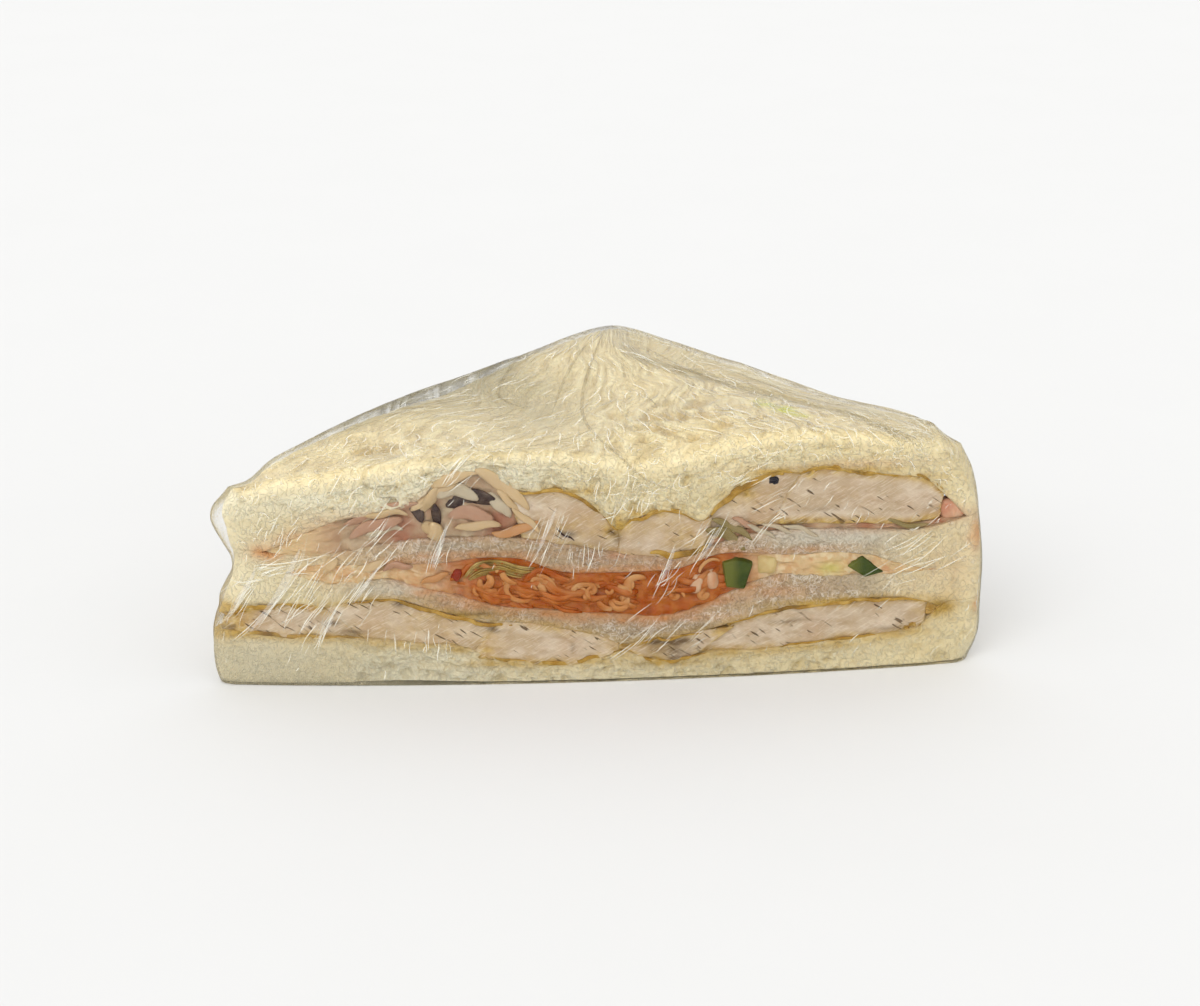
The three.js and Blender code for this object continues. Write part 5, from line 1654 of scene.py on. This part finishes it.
class SANDWICH_OT_small_pieces(bpy.types.Operator):
    """Add the corn, the onion chunk, the tomato and the peppercorn"""

    bl_idname = "sandwich.add_small_pieces"
    bl_label = "Add small pieces"

    def execute(self, context):
        corn = lump_piece("corn_lump", 31.4, 22.6, -0.5, (4.2, 5, 4.2), 3)
        settle(corn, paint_wet("corn_skin", [shade(216, 194, 140), shade(206, 178, 116)]), "corn",
               "corn_kernel")
        flesh = paint_wet("onion_flesh", [shade(218, 184, 150), shade(206, 152, 112)], 0.18)
        for name, x, z, size, tilt in (("onion_lobe_left", 18.0, 19.3, (2.8, 3.6, 4.6), 0.3),
                                       ("onion_lobe_right", 20.9, 20.0, (2.8, 3.6, 4.4), -0.1)):
            lobe = lump_piece(name, x, z, -0.4, size, 4, 0.06, 0.15, tilt)
            settle(lobe, flesh, "onion", "onion_chunk")
        tomato = lump_piece("tomato_lump", 67.2, 31.8, 0.2, (5.4, 4.0, 4.2), 9)
        settle(tomato, paint_wet("tomato_flesh", [shade(204, 136, 108), shade(220, 178, 146)]),
               "tomato", "tomato_piece")
        peppercorn = lump_piece("black_peppercorn", 32.1, 39.7, -0.1, (2.0, 1.8, 1.9), 6, 0.2)
        black = [shade(38, 36, 42), shade(58, 54, 58)]
        settle(peppercorn, paint_wet("peppercorn_skin", black, 0.4), "chicken")
        return {"FINISHED"}


class SANDWICH_OT_salad(bpy.types.Operator):
    """Add the onion salad and the tomato relish of the upper filling"""

    bl_idname = "sandwich.add_salad"
    bl_label = "Add salad"

    def execute(self, context):
        low, high = layer_low("chicken_top", 0), layer_high("chicken_top", 0)
        fade = {"fade": lambda p: ease(-46, -58, p[..., 0])}
        mass = sauce_body("salad_mass", -64.5, -14.5, low, high, 0.8, 15, marks=fade,
                          flush=lambda x: ease(-46, -54, x))
        pink = [shade(172, 138, 108), shade(198, 178, 148), shade(168, 116, 90)]
        cream = paint_wet("salad_cream", pink, 0.35, 1.6, faded=shade(220, 192, 148))
        settle(mass, cream, "salad", "onion_salad")
        relish_top = lambda x, y: low(x, y) + RELISH
        relish = sauce_body("relish_spread", 19, 71, low, relish_top, 0.9, 19, 0.3)
        red = [shade(176, 122, 90), shade(208, 182, 148), shade(166, 104, 74)]
        settle(relish, paint_wet("relish_red", red, 0.3, 2.0), "relish", "tomato_relish")
        leaves = leaf_pieces()
        settle(leaves, paint_leaves(), "salad")
        return {"FINISHED"}


class SANDWICH_OT_film(bpy.types.Operator):
    """Add the clear film round the sandwich"""

    bl_idname = "sandwich.add_film"
    bl_label = "Add film"

    def execute(self, context):
        sizes = context.scene.sandwich_sizes
        rng = np.random.default_rng(40)
        body, marks = film_wrap(sizes)
        settle(body.mesh("film_wrap", **marks), paint_film(), "film", "film")
        chart = FilmChart(body)
        width = sizes.crease_width / MM
        # Pale ribbons paint the creases' highlights, and dim ones the shade of the top's creases.
        pale, dim = shade(252, 250, 236), shade(150, 136, 98)
        for name, paths, wide, alpha, colour in (
            ("film_top_creases", top_paths(rng, sizes.top_creases), 1.0, 0.3, pale),
            ("film_top_shades", top_paths(rng, sizes.top_creases // 2), 1.3, 0.1, dim),
            ("film_cut_creases", cut_paths(rng, sizes.cut_creases), 0.55, 0.4, pale),
            ("film_cut_glints", cut_paths(rng, sizes.cut_creases // 4), 0.5, 0.65, pale),
            ("film_long_creases", long_paths(rng), 0.42, 0.72, pale),
            ("film_curls", curl_strokes(rng, 2 * sizes.cut_creases), 0.6, 0.3, pale),
        ):
            spread = rng.uniform(0.5, 1.5, len(paths)) * wide * width
            piece = chart.ribbons(name, paths, spread, 0.05)
            settle(piece, paint_crease(name[5:-1], alpha, colour), "film")
        # Wide pale ribbons of painted sheen over the folds.
        folds = np.stack([smooth_path(path, 25) for _, path in FOLDS])
        piece = chart.ribbons("film_fold_sheens", folds, np.array([wide for wide, _ in FOLDS]), 0.05)
        settle(piece, paint_crease("fold_sheen", 0.1), "film")
        # Dark ribbons of painted shade along the seams.
        seams = np.stack([smooth_path(path, 25) for path in SEAMS])
        piece = chart.ribbons("film_seam_shades", seams, 0.7, 0.05)
        settle(piece, paint_crease("seam_shade", 0.14, shade(128, 112, 76)), "film")
        return {"FINISHED"}


class SANDWICH_OT_stage(bpy.types.Operator):
    """Add the pale floor, the soft lights and the camera"""

    bl_idname = "sandwich.add_stage"
    bl_label = "Add stage"

    def execute(self, context):
        scene = context.scene
        scene.view_settings.view_transform = "Standard"
        add_floor()
        add_lights(scene)
        scene.camera = add_camera()
        return {"FINISHED"}


FLOOR_REACH = 4000.0
FLOOR_SHADES = ((217, 217, 216), (212, 212, 211))

ROOM_STRENGTH = 1.12
SUN_STRENGTH, SUN_ANGLE = 1.1, 0.7
SUN_TOWARD = (0.4, 0.62, -0.68)

# The photograph's view, in metres, with the lens and its sensor in millimetres.
CAMERA_PLACE, CAMERA_AIM = (-0.0291, -0.4237, 0.1886), (0, -0.0075, 0.020)
LENS, SENSOR = 67.47, 36.0
SHIFT_X, SHIFT_Y = 0.0071, 0.0200
NEAREST, FARTHEST = 0.01, 20


def add_floor():
    reach = FLOOR_REACH
    corners = np.array([(-reach, -reach, 0), (reach, -reach, 0), (reach, reach, 0),
                        (-reach, reach, 0)])
    floor = make_piece("floor", corners, [(0, 1, 2, 3)])
    paint = Paint("pale_floor")
    speckle = paint.span(paint.noise(40, 3.0), 0.3, 0.7, 0.0, 0.15)
    pale = paint.blend(speckle, *(shade(*colour) for colour in FLOOR_SHADES))
    floor.data.materials.append(paint.surface(pale, 0.9))


def add_lights(scene):
    """A pale room and one very wide sun from the left front."""
    world = bpy.data.worlds.new("studio")
    scene.world = world
    world.use_nodes = True
    background = world.node_tree.nodes["Background"].inputs
    background["Color"].default_value = (1, 1, 1, 1)
    background["Strength"].default_value = ROOM_STRENGTH
    sun = bpy.data.lights.new("key", "SUN")
    sun.energy, sun.angle = SUN_STRENGTH, SUN_ANGLE
    stand = bpy.data.objects.new("key", sun)
    toward = Vector(SUN_TOWARD)
    stand.location = -toward
    stand.rotation_euler = toward.to_track_quat("-Z", "Y").to_euler()
    bpy.context.collection.objects.link(stand)


def add_camera():
    """The photograph's view: a little from the left, 22 degrees above the table."""
    camera = bpy.data.cameras.new("photo_camera")
    camera.lens, camera.sensor_width = LENS, SENSOR
    camera.shift_x, camera.shift_y = SHIFT_X, SHIFT_Y
    camera.clip_start, camera.clip_end = NEAREST, FARTHEST
    stand = bpy.data.objects.new("photo_camera", camera)
    stand.location = CAMERA_PLACE
    view = Vector(CAMERA_AIM) - stand.location
    stand.rotation_euler = view.to_track_quat("-Z", "Y").to_euler()
    bpy.context.collection.objects.link(stand)
    return stand


class SANDWICH_PT_panel(bpy.types.Panel):
    """Buttons for every part of the sandwich"""

    bl_idname = "SANDWICH_PT_panel"
    bl_label = "Tikka sandwich"
    bl_space_type = "VIEW_3D"
    bl_region_type = "UI"
    bl_category = "Sandwich"

    def draw(self, context):
        for group in (context.scene.sandwich_sizes, context.scene.sandwich_colours):
            box = self.layout.box()
            for name in group.bl_rna.properties.keys():
                if name not in ("name", "rna_type"):
                    box.prop(group, name)
        for operator in OPERATORS:
            self.layout.operator(operator.bl_idname)


OPERATORS = (
    SANDWICH_OT_bread,
    SANDWICH_OT_chicken,
    SANDWICH_OT_slaw,
    SANDWICH_OT_green_pepper,
    SANDWICH_OT_small_pieces,
    SANDWICH_OT_salad,
    SANDWICH_OT_film,
    SANDWICH_OT_stage,
)
CLASSES = (SandwichSizes, SandwichColours, *OPERATORS, SANDWICH_PT_panel)


def register():
    for cls in CLASSES:
        bpy.utils.register_class(cls)
    bpy.types.Scene.sandwich_sizes = PointerProperty(type=SandwichSizes)
    bpy.types.Scene.sandwich_colours = PointerProperty(type=SandwichColours)


def unregister():
    del bpy.types.Scene.sandwich_colours
    del bpy.types.Scene.sandwich_sizes
    for cls in reversed(CLASSES):
        bpy.utils.unregister_class(cls)


def main():
    register()
    for operator in OPERATORS:
        group, name = operator.bl_idname.split(".")
        getattr(getattr(bpy.ops, group), name)()


if __name__ == "__main__":
    main()
